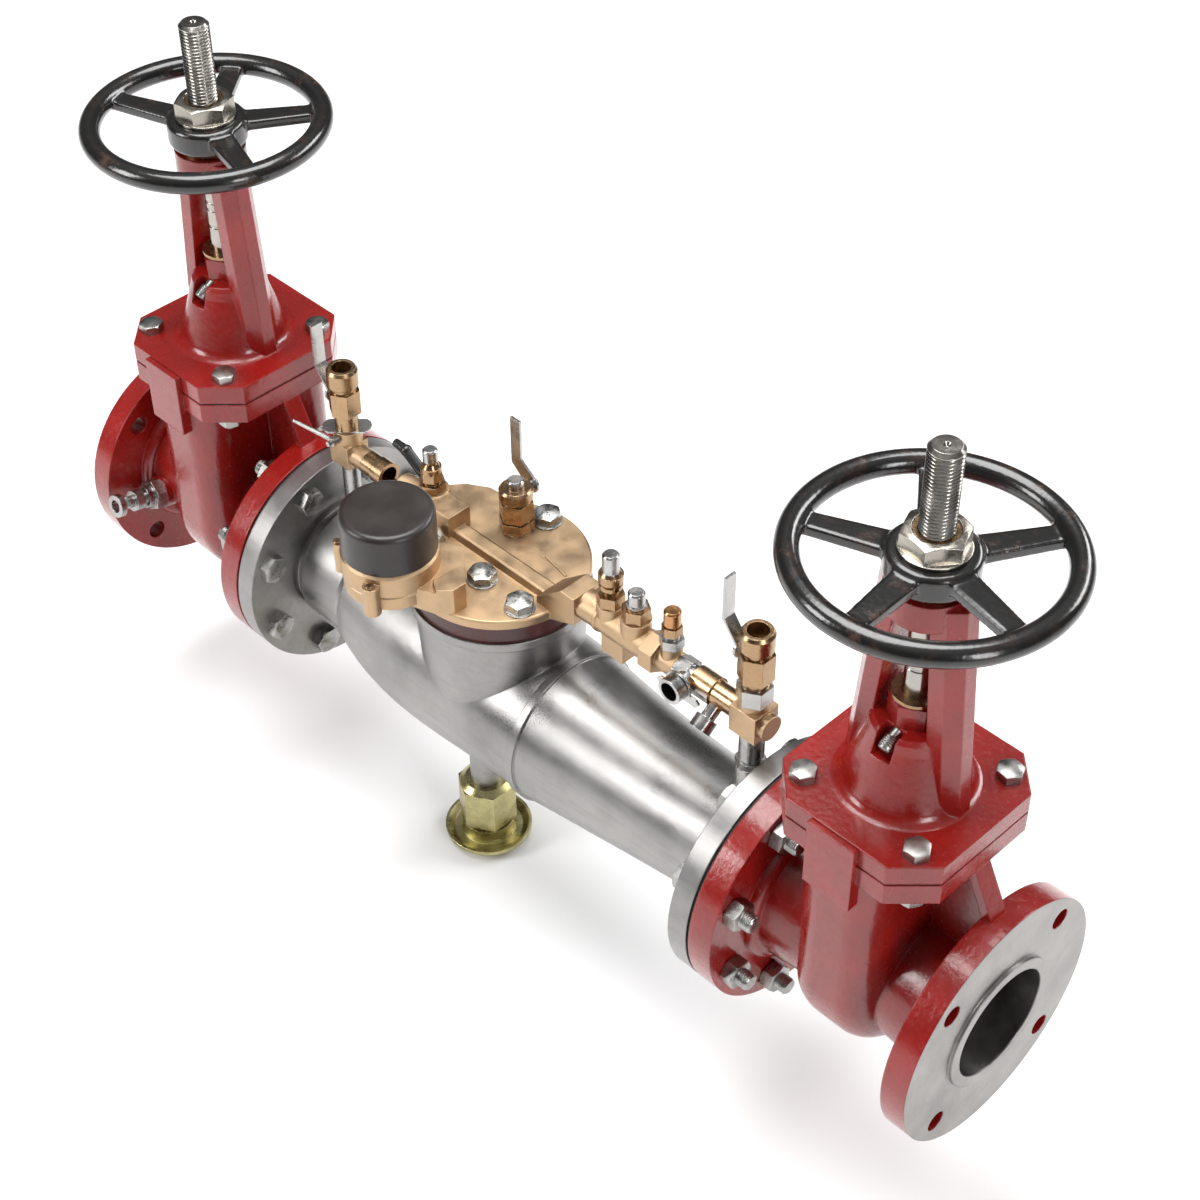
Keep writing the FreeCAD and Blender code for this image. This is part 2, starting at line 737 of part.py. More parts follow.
def flange_holes(body, x, count, first_angle, thickness, hole_dia):
    sketch = new_sketch(body, "YZ", x)
    radius = size["bolt_circle"] / 2
    angle = math.radians(first_angle)
    draw_circle(sketch, radius * math.cos(angle), radius * math.sin(angle), hole_dia / 2)
    hole = pocket(body, sketch, thickness + 2)
    return ring_of(body, [hole], sketch, count)


def bonnet(prefix, axis_x):
    """Red bonnet: flange, dome with its stuffing box, two yoke arms and the yoke head."""
    body = new_body(prefix + "_bonnet")
    sketch = new_sketch(body, "XY", bonnet_base)
    draw_outline(sketch, plate_corners())
    pad(body, sketch, size["bonnet_plate"])
    # dome
    sketch = new_sketch(body, "XZ")
    foot = size["dome_dia"] / 2
    blend = size["dome_round"]
    top = size["dome_top_dia"] / 2
    draw_outline(sketch, [
        (0, bonnet_base + 1), (foot, bonnet_base + 1), (foot, bonnet_top),
        (foot - 0.01, bonnet_top, -blend), (foot - blend * 0.75, bonnet_top + blend * 0.7),
        (top + 2, size["dome_top"] - 12), (top, size["dome_top"] - 3),
        (top - 3, size["dome_top"]), (0, size["dome_top"])])
    revolve(body, sketch)
    yoke_arms(body)
    # yoke head
    sketch = new_sketch(body, "XY", size["yoke_top"] - size["yoke_thick"])
    draw_circle(sketch, 0, 0, size["yoke_dia"] / 2)
    pad(body, sketch, size["yoke_thick"])
    # room for the wedge boss, stuffing box and stem bore
    sketch = new_sketch(body, "XZ")
    room = size["dome_bore"] / 2
    stem = size["stem_smooth"] / 2 + size["slide_gap"]
    box = size["gland_sleeve"] / 2 + size["slide_gap"]
    box_low = size["dome_top"] - size["packing_depth"] - 1
    draw_outline(sketch, [
        (0, bonnet_base - 1), (room, bonnet_base - 1), (room, size["dome_roof"] - 14),
        (stem, size["dome_roof"]), (stem, box_low), (box, box_low),
        (box, size["dome_top"] + 1), (0, size["dome_top"] + 1)])
    groove(body, sketch)
    # yoke nut bore
    sketch = new_sketch(body, "XY", size["yoke_top"] - size["yoke_thick"] / 2)
    draw_circle(sketch, 0, 0, size["shank_dia"] / 2 + size["slide_gap"])
    pocket(body, sketch, size["yoke_thick"] + 4)
    # notch in front for the lock screw
    sketch = new_sketch(body, "XZ", size["dome_top_dia"] / 2 + 8)
    wide = size["notch_wide"] / 2
    low = size["dome_top"] - size["notch_depth"]
    draw_outline(sketch, [(-wide, low), (wide, low), (wide, size["dome_top"] + 1),
                          (-wide, size["dome_top"] + 1)])
    pocket(body, sketch, (size["dome_top_dia"] / 2 + 8 - size["gland_sleeve"] / 2 - 4.5) * 2)
    # tilted hole of that screw
    out, up = lock_place()
    sketch = new_sketch(body, "XZ", out + size["lock_seat"] / 2, LOCK_TILT)
    draw_circle(sketch, 0, up, size["lock_dia"] / 2 - 1.45)
    pocket(body, sketch, size["lock_seat"])
    last = bonnet_holes(body, bonnet_base + size["bonnet_plate"] / 2, size["bonnet_plate"] + 2)
    body.Tip = last
    place(body, axis_x)
    return node(body, prefix + "_bonnet")


def yoke_arms(body):
    """Two arms that lean in from the dome's foot to the yoke head, with cut outer corners."""
    for sign in (-1, 1):
        sections = []
        for height, outer in ((bonnet_top - 2, size["arm_foot_out"]),
                              (size["yoke_top"] - 4, size["arm_head_out"])):
            sketch = new_sketch(body, "XY", height)
            deep = size["arm_deep"] / 2
            corner = size["arm_corner"]
            inner = outer - size["arm_thick"]
            draw_outline(sketch, [
                (inner * sign, -deep), ((outer - corner) * sign, -deep), (outer * sign, -(deep - corner)),
                (outer * sign, deep - corner), ((outer - corner) * sign, deep), (inner * sign, deep)])
            sections.append(sketch)
        loft(body, sections)


def stem(prefix, axis_x):
    """Stainless stem, drawn in its raised place, with three shallow grooves."""
    smooth = size["stem_smooth"] / 2
    thread = size["stem_thread"] / 2
    foot = size["bonnet_joint"] - size["stem_foot"]
    top = size["stem_top"]
    corners = [(0, foot), (smooth, foot)]
    for height in (28, 46, 54):
        low = gland_top + height
        corners += [(smooth, low), (smooth - 0.8, low + 0.8), (smooth - 0.8, low + 2.2), (smooth, low + 3)]
    corners += [(smooth, size["stem_step"]), (thread, size["stem_step"] + 2), (thread, top - 3),
                (thread - 3, top), (0, top)]
    return turned_body(prefix + "_stem", corners, x=axis_x)


def wedge(prefix, axis_x):
    """Wedge in its raised place, with side guides and the boss that holds the stem."""
    body = new_body(prefix + "_wedge")
    radius = size["wedge_dia"] / 2
    open_height = size["valve_travel"]
    sketch = new_sketch(body, "YZ")
    draw_circle(sketch, 0, open_height, radius)
    pad(body, sketch, size["wedge_thick"], both_ways=True)
    sketch = new_sketch(body, "YZ")
    guide = radius + size["guide_proud"]
    draw_outline(sketch, [(-guide, open_height - 12), (guide, open_height - 12),
                          (guide, open_height + 34), (-guide, open_height + 34)])
    pad(body, sketch, size["wedge_thick"] * 0.3, both_ways=True)
    sketch = new_sketch(body, "XY", open_height + radius * 0.7)
    draw_circle(sketch, 0, 0, size["wedge_thick"] * 0.42)
    pad(body, sketch, size["bonnet_joint"] - open_height - radius * 0.7)
    sketch = new_sketch(body, "XY", size["bonnet_joint"])
    draw_circle(sketch, 0, 0, size["stem_smooth"] / 2)
    body.Tip = pocket(body, sketch, size["stem_foot"] * 2)
    place(body, axis_x)
    return node(body, prefix + "_wedge")


def yoke_nut(prefix, axis_x):
    """Bronze nut that turns in the yoke head and lifts the stem."""
    bore = size["stem_thread"] / 2 + size["thread_gap"]
    shank = size["shank_dia"] / 2
    collar = size["collar_dia"] / 2
    nose = size["nose_dia"] / 2
    low = collar_low - size["shank_below"]
    return turned_body(prefix + "_yoke_nut", [
        (bore, low), (shank, low), (shank, collar_low), (collar, collar_low), (collar, hub_low),
        (shank, hub_low), (shank, hub_high), (nose, hub_high),
        (nose, hub_high + size["wheel_nut_tall"] - 1), (bore, hub_high + size["wheel_nut_tall"] - 1)],
        x=axis_x)


def handwheel(prefix, axis_x, spokes, first_angle):
    """Black handwheel: round rim, hub and flat tapering spokes a fifth of a turn apart."""
    body = new_body(prefix + "_handwheel")
    sketch = new_sketch(body, "XZ")
    hub = size["hub_dia"] / 2
    bore = size["shank_dia"] / 2
    draw_outline(sketch, [(bore, hub_low), (hub - 4, hub_low), (hub, hub_low + 4), (hub, hub_high - 3),
                          (hub - 3, hub_high), (bore, hub_high)])
    revolve(body, sketch)
    sketch = new_sketch(body, "XY", size["rim_height"] - size["spoke_thick"] * 0.8)
    turn = math.radians(first_angle)
    ends = []
    for reach, wide in ((hub - 8, size["spoke_hub_wide"]), (size["rim_ring_dia"] / 2, size["spoke_rim_wide"])):
        for side in (-1, 1):
            across = wide / 2 * side
            ends.append((reach * math.cos(turn) - across * math.sin(turn),
                         reach * math.sin(turn) + across * math.cos(turn)))
    draw_outline(sketch, [ends[0], ends[2], ends[3], ends[1]])
    spoke = pad(body, sketch, size["spoke_thick"])
    ring_of(body, [spoke], sketch, spokes, 360 if spokes == 5 else 72 * (spokes - 1))
    sketch = new_sketch(body, "XZ")
    draw_circle(sketch, size["rim_ring_dia"] / 2, size["rim_height"], size["rim_tube"] / 2)
    body.Tip = revolve(body, sketch)
    place(body, axis_x)
    return node(body, prefix + "_handwheel")


def handwheel_nut(prefix, axis_x):
    stack = [("round", size["wheel_nut_rim"], size["wheel_nut_rim_thick"]),
             ("hex", size["wheel_nut_flats"], size["wheel_nut_tall"] - size["wheel_nut_rim_thick"] - 2),
             ("cone", size["wheel_nut_flats"], size["wheel_nut_flats"] - 5, 2)]
    bore = [(size["nose_dia"], -1, size["wheel_nut_tall"] + 2)]
    return fitting(prefix + "_handwheel_nut", stack, bore, x=axis_x, z=hub_high)


def gate_valve(prefix, axis_x, end, spokes, first_angle):
    valve_body(prefix, axis_x, end)
    bonnet(prefix, axis_x)
    stem(prefix, axis_x)
    wedge(prefix, axis_x)
    yoke_nut(prefix, axis_x)
    handwheel(prefix, axis_x, spokes, first_angle)
    handwheel_nut(prefix, axis_x)


def pair(label, build):
    """One node that holds the same loose piece for both valves."""
    pieces = []
    for axis_x in (inlet_axis, outlet_axis):
        piece = build()
        bind(piece, "Placement.Base.x", axis_x)
        pieces.append(piece)
    group = doc.addObject("Part::Compound", label)
    group.Links = pieces
    return node(group, label)


def gland_nut():
    nut = joined(stack_solids([("hex", size["gland_flats"], size["gland_tall"] - 2),
                               ("cone", size["gland_flats"] * 1.04, size["gland_flats"] - 3, 2)]))
    hole = rod(size["gland_sleeve"] + 0.2, size["gland_tall"] + 2, z=-1)
    nut = less(nut, [hole])
    place(nut, 0, 0, size["dome_top"])
    return nut


def gland_ring():
    sleeve = rod(size["gland_sleeve"], size["packing_depth"] + size["gland_tall"], z=-size["packing_depth"])
    rim = rod(size["gland_rim"], size["gland_rim_thick"], z=size["gland_tall"])
    deep = size["packing_depth"]
    hole = rod(size["stem_smooth"] + size["slide_gap"], deep + size["gland_tall"] + 8, z=-deep - 1)
    ring = less(joined([sleeve, rim]), [hole])
    place(ring, 0, 0, size["dome_top"])
    return ring


def lock_place():
    """Start of the lock screw in its own tilted plane: out along it, and up across it."""
    tilt = math.radians(LOCK_TILT)
    out = size["gland_sleeve"] / 2 + 2.6
    up = size["dome_top"] - 5
    return (out * math.cos(tilt) - up * math.sin(tilt), up * math.cos(tilt) + out * math.sin(tilt))


def lock_screw():
    """Short screw that leans out of the dome's notch."""
    stack = [("round", size["lock_dia"] - 3, size["lock_seat"]),
             ("round", size["lock_dia"], size["lock_long"] - size["lock_seat"] - 2),
             ("cone", size["lock_dia"], size["lock_dia"] - 3, 2)]
    screw = joined(stack_solids(stack))
    tilt = math.radians(LOCK_TILT)
    lean = Rotation(Vector(0, 0, 1), Vector(0, -math.cos(tilt), -math.sin(tilt)))
    place(screw, 0, -(size["gland_sleeve"] / 2 + 2.6), size["dome_top"] - 5, lean)
    return screw


def bonnet_gasket():
    body = new_body("BonnetGasket")
    sketch = new_sketch(body, "XY", size["bonnet_joint"])
    draw_outline(sketch, plate_corners(1))
    draw_circle(sketch, 0, 0, size["dome_bore"] / 2 + 4)
    pad(body, sketch, size["bonnet_gasket"])
    body.Tip = bonnet_holes(body, size["bonnet_joint"] + 1, size["bonnet_gasket"] + 4)
    return body


def bolt_features(body, x, y, plane, head_at, head_sign, diameter, flats, head, grip, nut, tail):
    """Head, shank and nut of one bolt, drawn along the plane's normal from head_at."""
    made = []
    shank_sketch = new_sketch(body, plane, head_at - (grip / 2 + nut / 2 + tail / 2) * head_sign)
    draw_circle(shank_sketch, x, y, diameter / 2)
    made.append(pad(body, shank_sketch, grip + nut + tail, both_ways=True))
    sketch = new_sketch(body, plane, head_at + head / 2 * head_sign)
    draw_outline(sketch, hex_corners(flats, x, y, 12))
    made.append(pad(body, sketch, head, both_ways=True))
    sketch = new_sketch(body, plane, head_at - (grip + nut / 2) * head_sign)
    draw_outline(sketch, hex_corners(flats, x, y, 40))
    made.append(pad(body, sketch, nut, both_ways=True))
    return made, shank_sketch


def joint_bolts():
    """Eight bolts with their nuts at each flange joint, heads on the steel flanges."""
    body = new_body("joint_bolts")
    radius = size["bolt_circle"] / 2
    angle = math.radians(22.5)
    head_at = body_start + size["steel_flange"] - middle
    grip = size["steel_flange"] + size["gasket_thick"] + size["valve_flange"]
    made, sketch = bolt_features(
        body, radius * math.cos(angle), radius * math.sin(angle), "YZ", head_at, 1,
        size["joint_bolt"], size["joint_flats"], size["joint_head"], grip, size["joint_nut"], size["joint_tail"])
    both = body.newObject("PartDesign::MultiTransform", "BothJoints")
    both.Originals = made
    turn = body.newObject("PartDesign::PolarPattern", "EightBolts")
    turn.Axis = (sketch, ["N_Axis"])
    turn.Angle = 360
    turn.Occurrences = 8
    flip = body.newObject("PartDesign::Mirrored", "OtherJoint")
    flip.MirrorPlane = (origin_plane(body, "YZ"), [""])
    both.Transformations = [turn, flip]
    body.Tip = both
    place(body, middle)
    return node(body, "joint_bolts")


def bonnet_bolts():
    """Four bolts with their nuts on each bonnet."""
    body = new_body("bonnet_bolts")
    spot = size["bonnet_bolt_place"]
    reach = (outlet_axis - inlet_axis) / 2
    grip = size["bonnet_plate"] + size["bonnet_gasket"] + size["body_plate"]
    made = []
    for side in (-1, 1):
        features, sketch = bolt_features(
            body, reach + spot * side, spot, "XY", bonnet_top, 1, size["bonnet_bolt"],
            size["bonnet_flats"], size["bonnet_head"], grip, size["bonnet_nut"], dim(5))
        made += features
    both = body.newObject("PartDesign::MultiTransform", "BothValves")
    both.Originals = made
    front = body.newObject("PartDesign::Mirrored", "Front")
    front.MirrorPlane = (origin_plane(body, "XZ"), [""])
    other = body.newObject("PartDesign::Mirrored", "OtherValve")
    other.MirrorPlane = (origin_plane(body, "YZ"), [""])
    both.Transformations = [front, other]
    body.Tip = both
    place(body, middle)
    return node(body, "bonnet_bolts")


def joint_gaskets():
    """Flat ring gaskets inside the bolts of both joints."""
    body = new_body("joint_gaskets")
    rings = []
    reach = middle - body_start + size["gasket_thick"] / 2
    for side in (-1, 1):
        sketch = new_sketch(body, "YZ", reach * side)
        draw_circle(sketch, 0, 0, size["flange_dia"] / 2 - 2)
        draw_circle(sketch, 0, 0, size["bore_dia"] / 2 + 2)
        rings.append(pad(body, sketch, size["gasket_thick"], both_ways=True))
        flange_holes(body, reach * side, 8, 22.5, size["gasket_thick"], size["joint_hole"])
    place(body, middle)
    return node(body, "joint_gaskets")


def inlet_test_cock():
    """Bright spigot screwed into the inlet valve's neck, leaning up and out to the front."""
    stack = [("hex", 28, 11), ("round", 22, 7), ("round", 13, 5), ("round", 21, 9), ("round", 12, 9),
             ("cone", 12, 20, 5), ("round", 23, 6)]
    tilt = math.radians(SPIGOT_TILT)
    lean = Rotation(Vector(0, 0, 1), Vector(0, -math.cos(tilt), math.sin(tilt)))
    out, up = size["spigot_out"], size["spigot_height"]
    return fitting("inlet_test_cock", stack, [(13, 38, 16)], x=size["spigot_x"],
                   y=up * math.sin(tilt) - out * math.cos(tilt),
                   z=out * math.sin(tilt) + up * math.cos(tilt), turn=lean)


# Check body


def check_body():
    """Stainless body: two flanges, short neck, eccentric barrel, long taper and cover neck."""
    body = new_body("check_body")
    start = body_start
    end = body_end
    neck = size["steel_neck_dia"] / 2
    rim = size["flange_dia"] / 2
    # first flange with its short neck
    sketch = new_sketch(body, "XZ")
    face = start + size["steel_flange"]
    draw_outline(sketch, [(start, 0), (start, rim), (face, rim), (face, neck - 4), (face + 4, neck - 4),
                          (face + 6, neck - 1, 8), (face + 11, neck + 1),
                          (size["neck_end"] - 6, neck), (size["neck_end"] + 4, neck - 6),
                          (size["neck_end"] + 4, 0)])
    revolve(body, sketch, "H_Axis")
    # second flange
    sketch = new_sketch(body, "YZ", end - size["steel_flange"] / 2)
    draw_circle(sketch, 0, 0, rim)
    pad(body, sketch, size["steel_flange"], both_ways=True)
    # barrel and taper, below the pipe axis
    drum = [(size["neck_end"], size["drum_start_dia"], size["drum_drop"] * 0.3),
            ((size["neck_end"] + size["drum_full"]) / 2 - 8, size["drum_dia"] - 9, size["drum_drop"] * 0.8),
            (size["drum_full"], size["drum_dia"], size["drum_drop"]),
            (size["drum_end"], size["drum_end_dia"], size["drum_drop"])]
    taper = [(size["drum_end"], size["drum_end_dia"], size["drum_drop"]),
             (size["taper_mid"], size["taper_mid_dia"], size["taper_mid_drop"]),
             (end - size["steel_flange"], size["taper_end_dia"], size["taper_end_drop"])]
    for stations in (drum, taper):
        sections = []
        for x, diameter, drop in stations:
            sketch = new_sketch(body, "YZ", x)
            draw_circle(sketch, 0, -drop, diameter / 2)
            sections.append(sketch)
        loft(body, sections)
    # weld ring
    sketch = new_sketch(body, "YZ", size["drum_end"])
    draw_circle(sketch, 0, -size["drum_drop"], size["drum_end_dia"] / 2 + size["weld_proud"])
    pad(body, sketch, size["weld_wide"], both_ways=True)
    cover_neck(body)
    # weld bosses of the bypass and the relief nipple
    for x, low, high, diameter in (
            (size["inlet_column"], dim(20), size["boss_top"], size["boss_dia"] - 6),
            (size["outlet_column"], dim(20), size["boss_top"], size["boss_dia"] + 2)):
        sketch = new_sketch(body, "XY", low)
        draw_circle(sketch, x, 0, diameter / 2)
        pad(body, sketch, high - low)
    sketch = new_sketch(body, "XY", size["nipple_end"])
    draw_circle(sketch, size["relief_x"], 0, size["nipple_dia"] / 2)
    pad(body, sketch, -size["nipple_end"] - 80)
    check_body_rooms(body)
    for x in (start + size["steel_flange"] / 2, end - size["steel_flange"] / 2):
        flange_holes(body, x, 8, 22.5, size["steel_flange"], size["joint_hole"])
    place(body)
    return node(body, "check_body")


def cover_neck(body):
    """Vertical neck that flares up to the steel lip under the cover ring."""
    sketch = new_sketch(body, "XZ")
    x = size["cover_x"]
    foot = size["branch_foot_dia"] / 2
    top = size["branch_top_dia"] / 2
    lip = size["lip_steel_dia"] / 2
    sections = []
    for height, radius in ((dim(-30), foot), (lip_low - 2, top)):
        sketch = new_sketch(body, "XY", height)
        draw_circle(sketch, x, 0, radius)
        sections.append(sketch)
    loft(body, sections)
    for low, high, radius in ((lip_low - 2, lip_low, top - 1.5), (lip_low, ring_low, lip)):
        sketch = new_sketch(body, "XY", low)
        draw_circle(sketch, x, 0, radius)
        pad(body, sketch, high - low)


def check_body_rooms(body):
    """Bore, the room round the checks, the access opening and the relief way."""
    bore = size["bore_dia"] / 2 + 1
    for low, high in ((body_start - 2, size["chamber_start"] + 2), (size["chamber_end"] - 2, size["bulkhead_end"] + 2),
                      (body_end - size["steel_flange"] - 6, body_end + 2)):
        sketch = new_sketch(body, "YZ", (low + high) / 2)
        draw_circle(sketch, 0, 0, bore)
        pocket(body, sketch, high - low)
    wall = size["taper_wall"]
    share = (size["bulkhead_end"] - size["drum_end"]) / (size["taper_mid"] - size["drum_end"])
    first = size["drum_end_dia"] + (size["taper_mid_dia"] - size["drum_end_dia"]) * share
    drop = size["drum_drop"] + (size["taper_mid_drop"] - size["drum_drop"]) * share
    sections = []
    for x, diameter, down in ((size["bulkhead_end"], first, drop),
                              (size["taper_mid"], size["taper_mid_dia"], size["taper_mid_drop"]),
                              (body_end - size["steel_flange"] - 4, size["taper_end_dia"], size["taper_end_drop"])):
        sketch = new_sketch(body, "YZ", x)
        draw_circle(sketch, 0, -down, diameter / 2 - wall)
        sections.append(sketch)
    room = body.newObject("PartDesign::SubtractiveLoft", "TaperRoom")
    room.Profile = sections[0]
    room.Sections = sections[1:]
    sketch = new_sketch(body, "YZ", (size["chamber_start"] + size["chamber_end"]) / 2)
    draw_circle(sketch, 0, -(size["drum_drop"] - 4), size["chamber_dia"] / 2)
    pocket(body, sketch, size["chamber_end"] - size["chamber_start"])
    sketch = new_sketch(body, "XY", ring_low)
    draw_circle(sketch, size["cover_x"], 0, size["access_dia"] / 2)
    pocket(body, sketch, ring_low * 2)
    sketch = new_sketch(body, "XY", size["nipple_end"])
    draw_circle(sketch, size["relief_x"], 0, size["nipple_dia"] / 2 - 5)
    pocket(body, sketch, -size["nipple_end"] * 2 - 100)
    # threaded holes for the cover bolts
    sketch = new_sketch(body, "XY", ring_low)
    for x, y in cover_bolt_places()[1:]:
        draw_circle(sketch, x, y, size["cover_bolt"] / 2)
    pocket(body, sketch, dim(32))


def cover_bolt_places():
    """Cover bolts: the first holds only the meter's side of the cover, the rest the whole stack."""
    reach = size["cover_dia"] / 2 - 15
    places = [(size["cover_x"] + 9, dim(-29))]
    for angle in (-28, 97, 205):
        turn = math.radians(angle)
        places.append((size["cover_x"] + reach * math.cos(turn), reach * math.sin(turn)))
    return places


def cover_ring():
    body = new_body("cover_ring")
    sketch = new_sketch(body, "XY", ring_low)
    draw_circle(sketch, size["cover_x"], 0, size["ring_dia"] / 2)
    draw_circle(sketch, size["cover_x"], 0, size["access_dia"] / 2)
    for x, y in cover_bolt_places()[1:]:
        draw_circle(sketch, x, y, size["cover_bolt"] / 2 + 0.2)
    pad(body, sketch, size["ring_thick"])
    place(body)
    return node(body, "cover_ring")


def cover():
    """Bronze cover: disc, channel rib, inlet boss and the shoulder that carries the manifold."""
    body = new_body("cover")
    x = size["cover_x"]
    top = size["cover_top"]
    radius = size["cover_dia"] / 2
    sketch = new_sketch(body, "XY", cover_low)
    draw_circle(sketch, x, 0, radius)
    disc = pad(body, sketch, size["cover_thick"])
    lid = top.value
    edges = pick_edges(disc, lambda e: abs(e.BoundBox.ZMin - lid) < 0.01 and e.BoundBox.ZLength < 0.01)
    fillet(body, disc, edges, 2)
    # channel rib, with a groove along its crest
    half = size["rib_wide"] / 2
    sketch = new_sketch(body, "YZ", x)
    draw_outline(sketch, [(-half - 3, top - 2), (half + 3, top - 2), (half, top + size["rib_tall"] - 1),
                          (half - 2, top + size["rib_tall"]), (-half + 2, top + size["rib_tall"]),
                          (-half, top + size["rib_tall"] - 1)])
    pad(body, sketch, size["cover_dia"] - 4, both_ways=True)
    # shoulder towards the manifold
    height = size["bypass_height"]
    grip = size["manifold_dia"] / 2
    sketch = new_sketch(body, "XZ")
    draw_outline(sketch, [(x + radius - 18, cover_low), (x + radius - 2, cover_low),
                          (size["manifold_start"], height - grip - 1), (size["manifold_start"], height + grip),
                          (size["manifold_start"] - 16, height + grip), (x + radius - 18, top + size["rib_tall"])])
    pad(body, sketch, size["manifold_dia"] + 4, both_ways=True)
    # inlet boss towards the bypass sleeve
    sketch = new_sketch(body, "YZ", size["sleeve_end"] + 2)
    draw_circle(sketch, 0, size["inlet_branch_height"], dim(13))
    pad(body, sketch, x - radius + 26 - size["sleeve_end"] - 2)
    sketch = new_sketch(body, "XZ", dim(0))
    draw_outline(sketch, [(size["sleeve_end"] + 12, size["inlet_branch_height"]),
                          (size["sleeve_end"] + 22, cover_low + 2), (x - radius + 30, cover_low + 2),
                          (x - radius + 30, size["inlet_branch_height"] + 13),
                          (size["sleeve_end"] + 20, size["inlet_branch_height"] + 13)])
    pad(body, sketch, dim(26), both_ways=True)
    # flat extension towards the inlet boss
    sketch = new_sketch(body, "XY", cover_low)
    left = x - radius
    draw_outline(sketch, [(left - 30, dim(-28)), (left + 40, dim(-28)), (left + 52, dim(66)),
                          (left + 3, dim(62)), (left - 17, dim(50)), (left - 30, dim(34))])
    pad(body, sketch, size["cover_thick"])
    # low pads under the shutoff and the test cock
    for place_x, place_y, wide, high in (cover_stop_place() + (dim(28), top + 3),
                                         front_cock_place() + (dim(30), front_cock_foot())):
        sketch = new_sketch(body, "XY", top - 3)
        draw_circle(sketch, place_x, place_y, wide / 2)
        pad(body, sketch, high - top + 3)
    # raised rib on the far side
    sketch = new_sketch(body, "XY", top - 1)
    draw_outline(sketch, [(x + 26, dim(30)), (x + 58, dim(24)), (x + 58, dim(26.5)), (x + 26, dim(32.5))])
    pad(body, sketch, dim(2.5))
    # bolt holes
    sketch = new_sketch(body, "XY", top)
    for bolt_x, bolt_y in cover_bolt_places():
        draw_circle(sketch, bolt_x, bolt_y, size["cover_bolt"] / 2 + 0.2)
    body.Tip = pocket(body, sketch, size["cover_thick"] * 2 + 2)
    place(body)
    return node(body, "cover")


def cover_stop_place():
    return (size["cover_x"] - 21, dim(41))


def front_cock_place():
    return (size["cover_x"] - size["cover_dia"] / 2 - 12, dim(6))


def front_cock_foot():
    return size["inlet_branch_height"] + 14


def cover_bolts():
    """Hex bolts with their washers on the cover."""
    pieces = []
    for number, (x, y) in enumerate(cover_bolt_places()):
        deep = size["cover_thick"] + 3 if number == 0 else size["cover_thick"] + size["ring_thick"] + 7
        stack = [("round", size["cover_bolt"], deep), ("round", size["washer_dia"], size["washer_thick"]),
                 ("hex", size["cover_flats"], size["cover_head"] - 1),
                 ("cone", size["cover_flats"], size["cover_flats"] - 2, 1)]
        piece = joined(stack_solids(stack))
        place(piece, x, y, size["cover_top"] - deep, Rotation(Vector(0, 0, 1), 18 + 20 * number))
        pieces.append(piece)
    group = doc.addObject("Part::Compound", "cover_bolts")
    group.Links = pieces
    return node(group, "cover_bolts")


# Checks inside the body


def check_place(which):
    """Where the seat ring of the first or second check starts."""
    if which == "first":
        return size["chamber_start"] - size["seat_thick"] - 1
    return size["chamber_end"] + 1


def check_seat(which):
    """Seat ring with a three-legged cage that guides the disc's stem."""
    body = new_body(which + "_check_seat")
    outer = size["bore_dia"] / 2 + 0.9
    sketch = new_sketch(body, "YZ", size["seat_thick"] / 2)
    draw_circle(sketch, 0, 0, outer)
    draw_circle(sketch, 0, 0, size["seat_bore"] / 2)
    pad(body, sketch, size["seat_thick"], both_ways=True)
    reach = -(size["disc_dia"] / 2 + 1)
    sketch = new_sketch(body, "YZ", size["seat_thick"] - 1)
    draw_outline(sketch, [(dim(-4), reach), (dim(4), reach), (dim(4), reach - 5), (dim(-4), reach - 5)])
    leg = pad(body, sketch, size["cage_long"] + 1)
    spider_at = size["seat_thick"] + size["cage_long"]
    spider = new_sketch(body, "YZ", spider_at - 5)
    draw_outline(spider, [(dim(-4), dim(0)), (dim(4), dim(0)), (dim(4), reach - 5), (dim(-4), reach - 5)])
    arm = pad(body, spider, dim(5))
    ring_of(body, [leg, arm], spider, 3)
    sketch = new_sketch(body, "YZ", spider_at - 5)
    draw_circle(sketch, 0, 0, size["guide_dia"] / 2 + 7)
    pad(body, sketch, dim(5))
    sketch = new_sketch(body, "YZ", spider_at)
    draw_circle(sketch, 0, 0, size["guide_dia"] / 2 + 0.1)
    body.Tip = pocket(body, sketch, dim(14))
    place(body, check_place(which))
    return node(body, which + "_check_seat")


def check_disc(which):
    """Disc, closed on its seat, with the stem that runs in the cage."""
    disc = size["disc_dia"] / 2
    guide = size["guide_dia"] / 2
    thick = size["disc_thick"]
    seat = size["seat_thick"]
    return turned_body(which + "_check_disc", [
        (0, seat - 4), (size["seat_bore"] / 2 - 4, seat - 4), (size["seat_bore"] / 2 - 2, seat),
        (disc, seat), (disc, seat + thick - 2), (disc - 2, seat + thick), (guide, seat + thick),
        (guide, seat + size["cage_long"] + 4), (0, seat + size["cage_long"] + 4)],
        x=check_place(which), turn=ALONG_X)


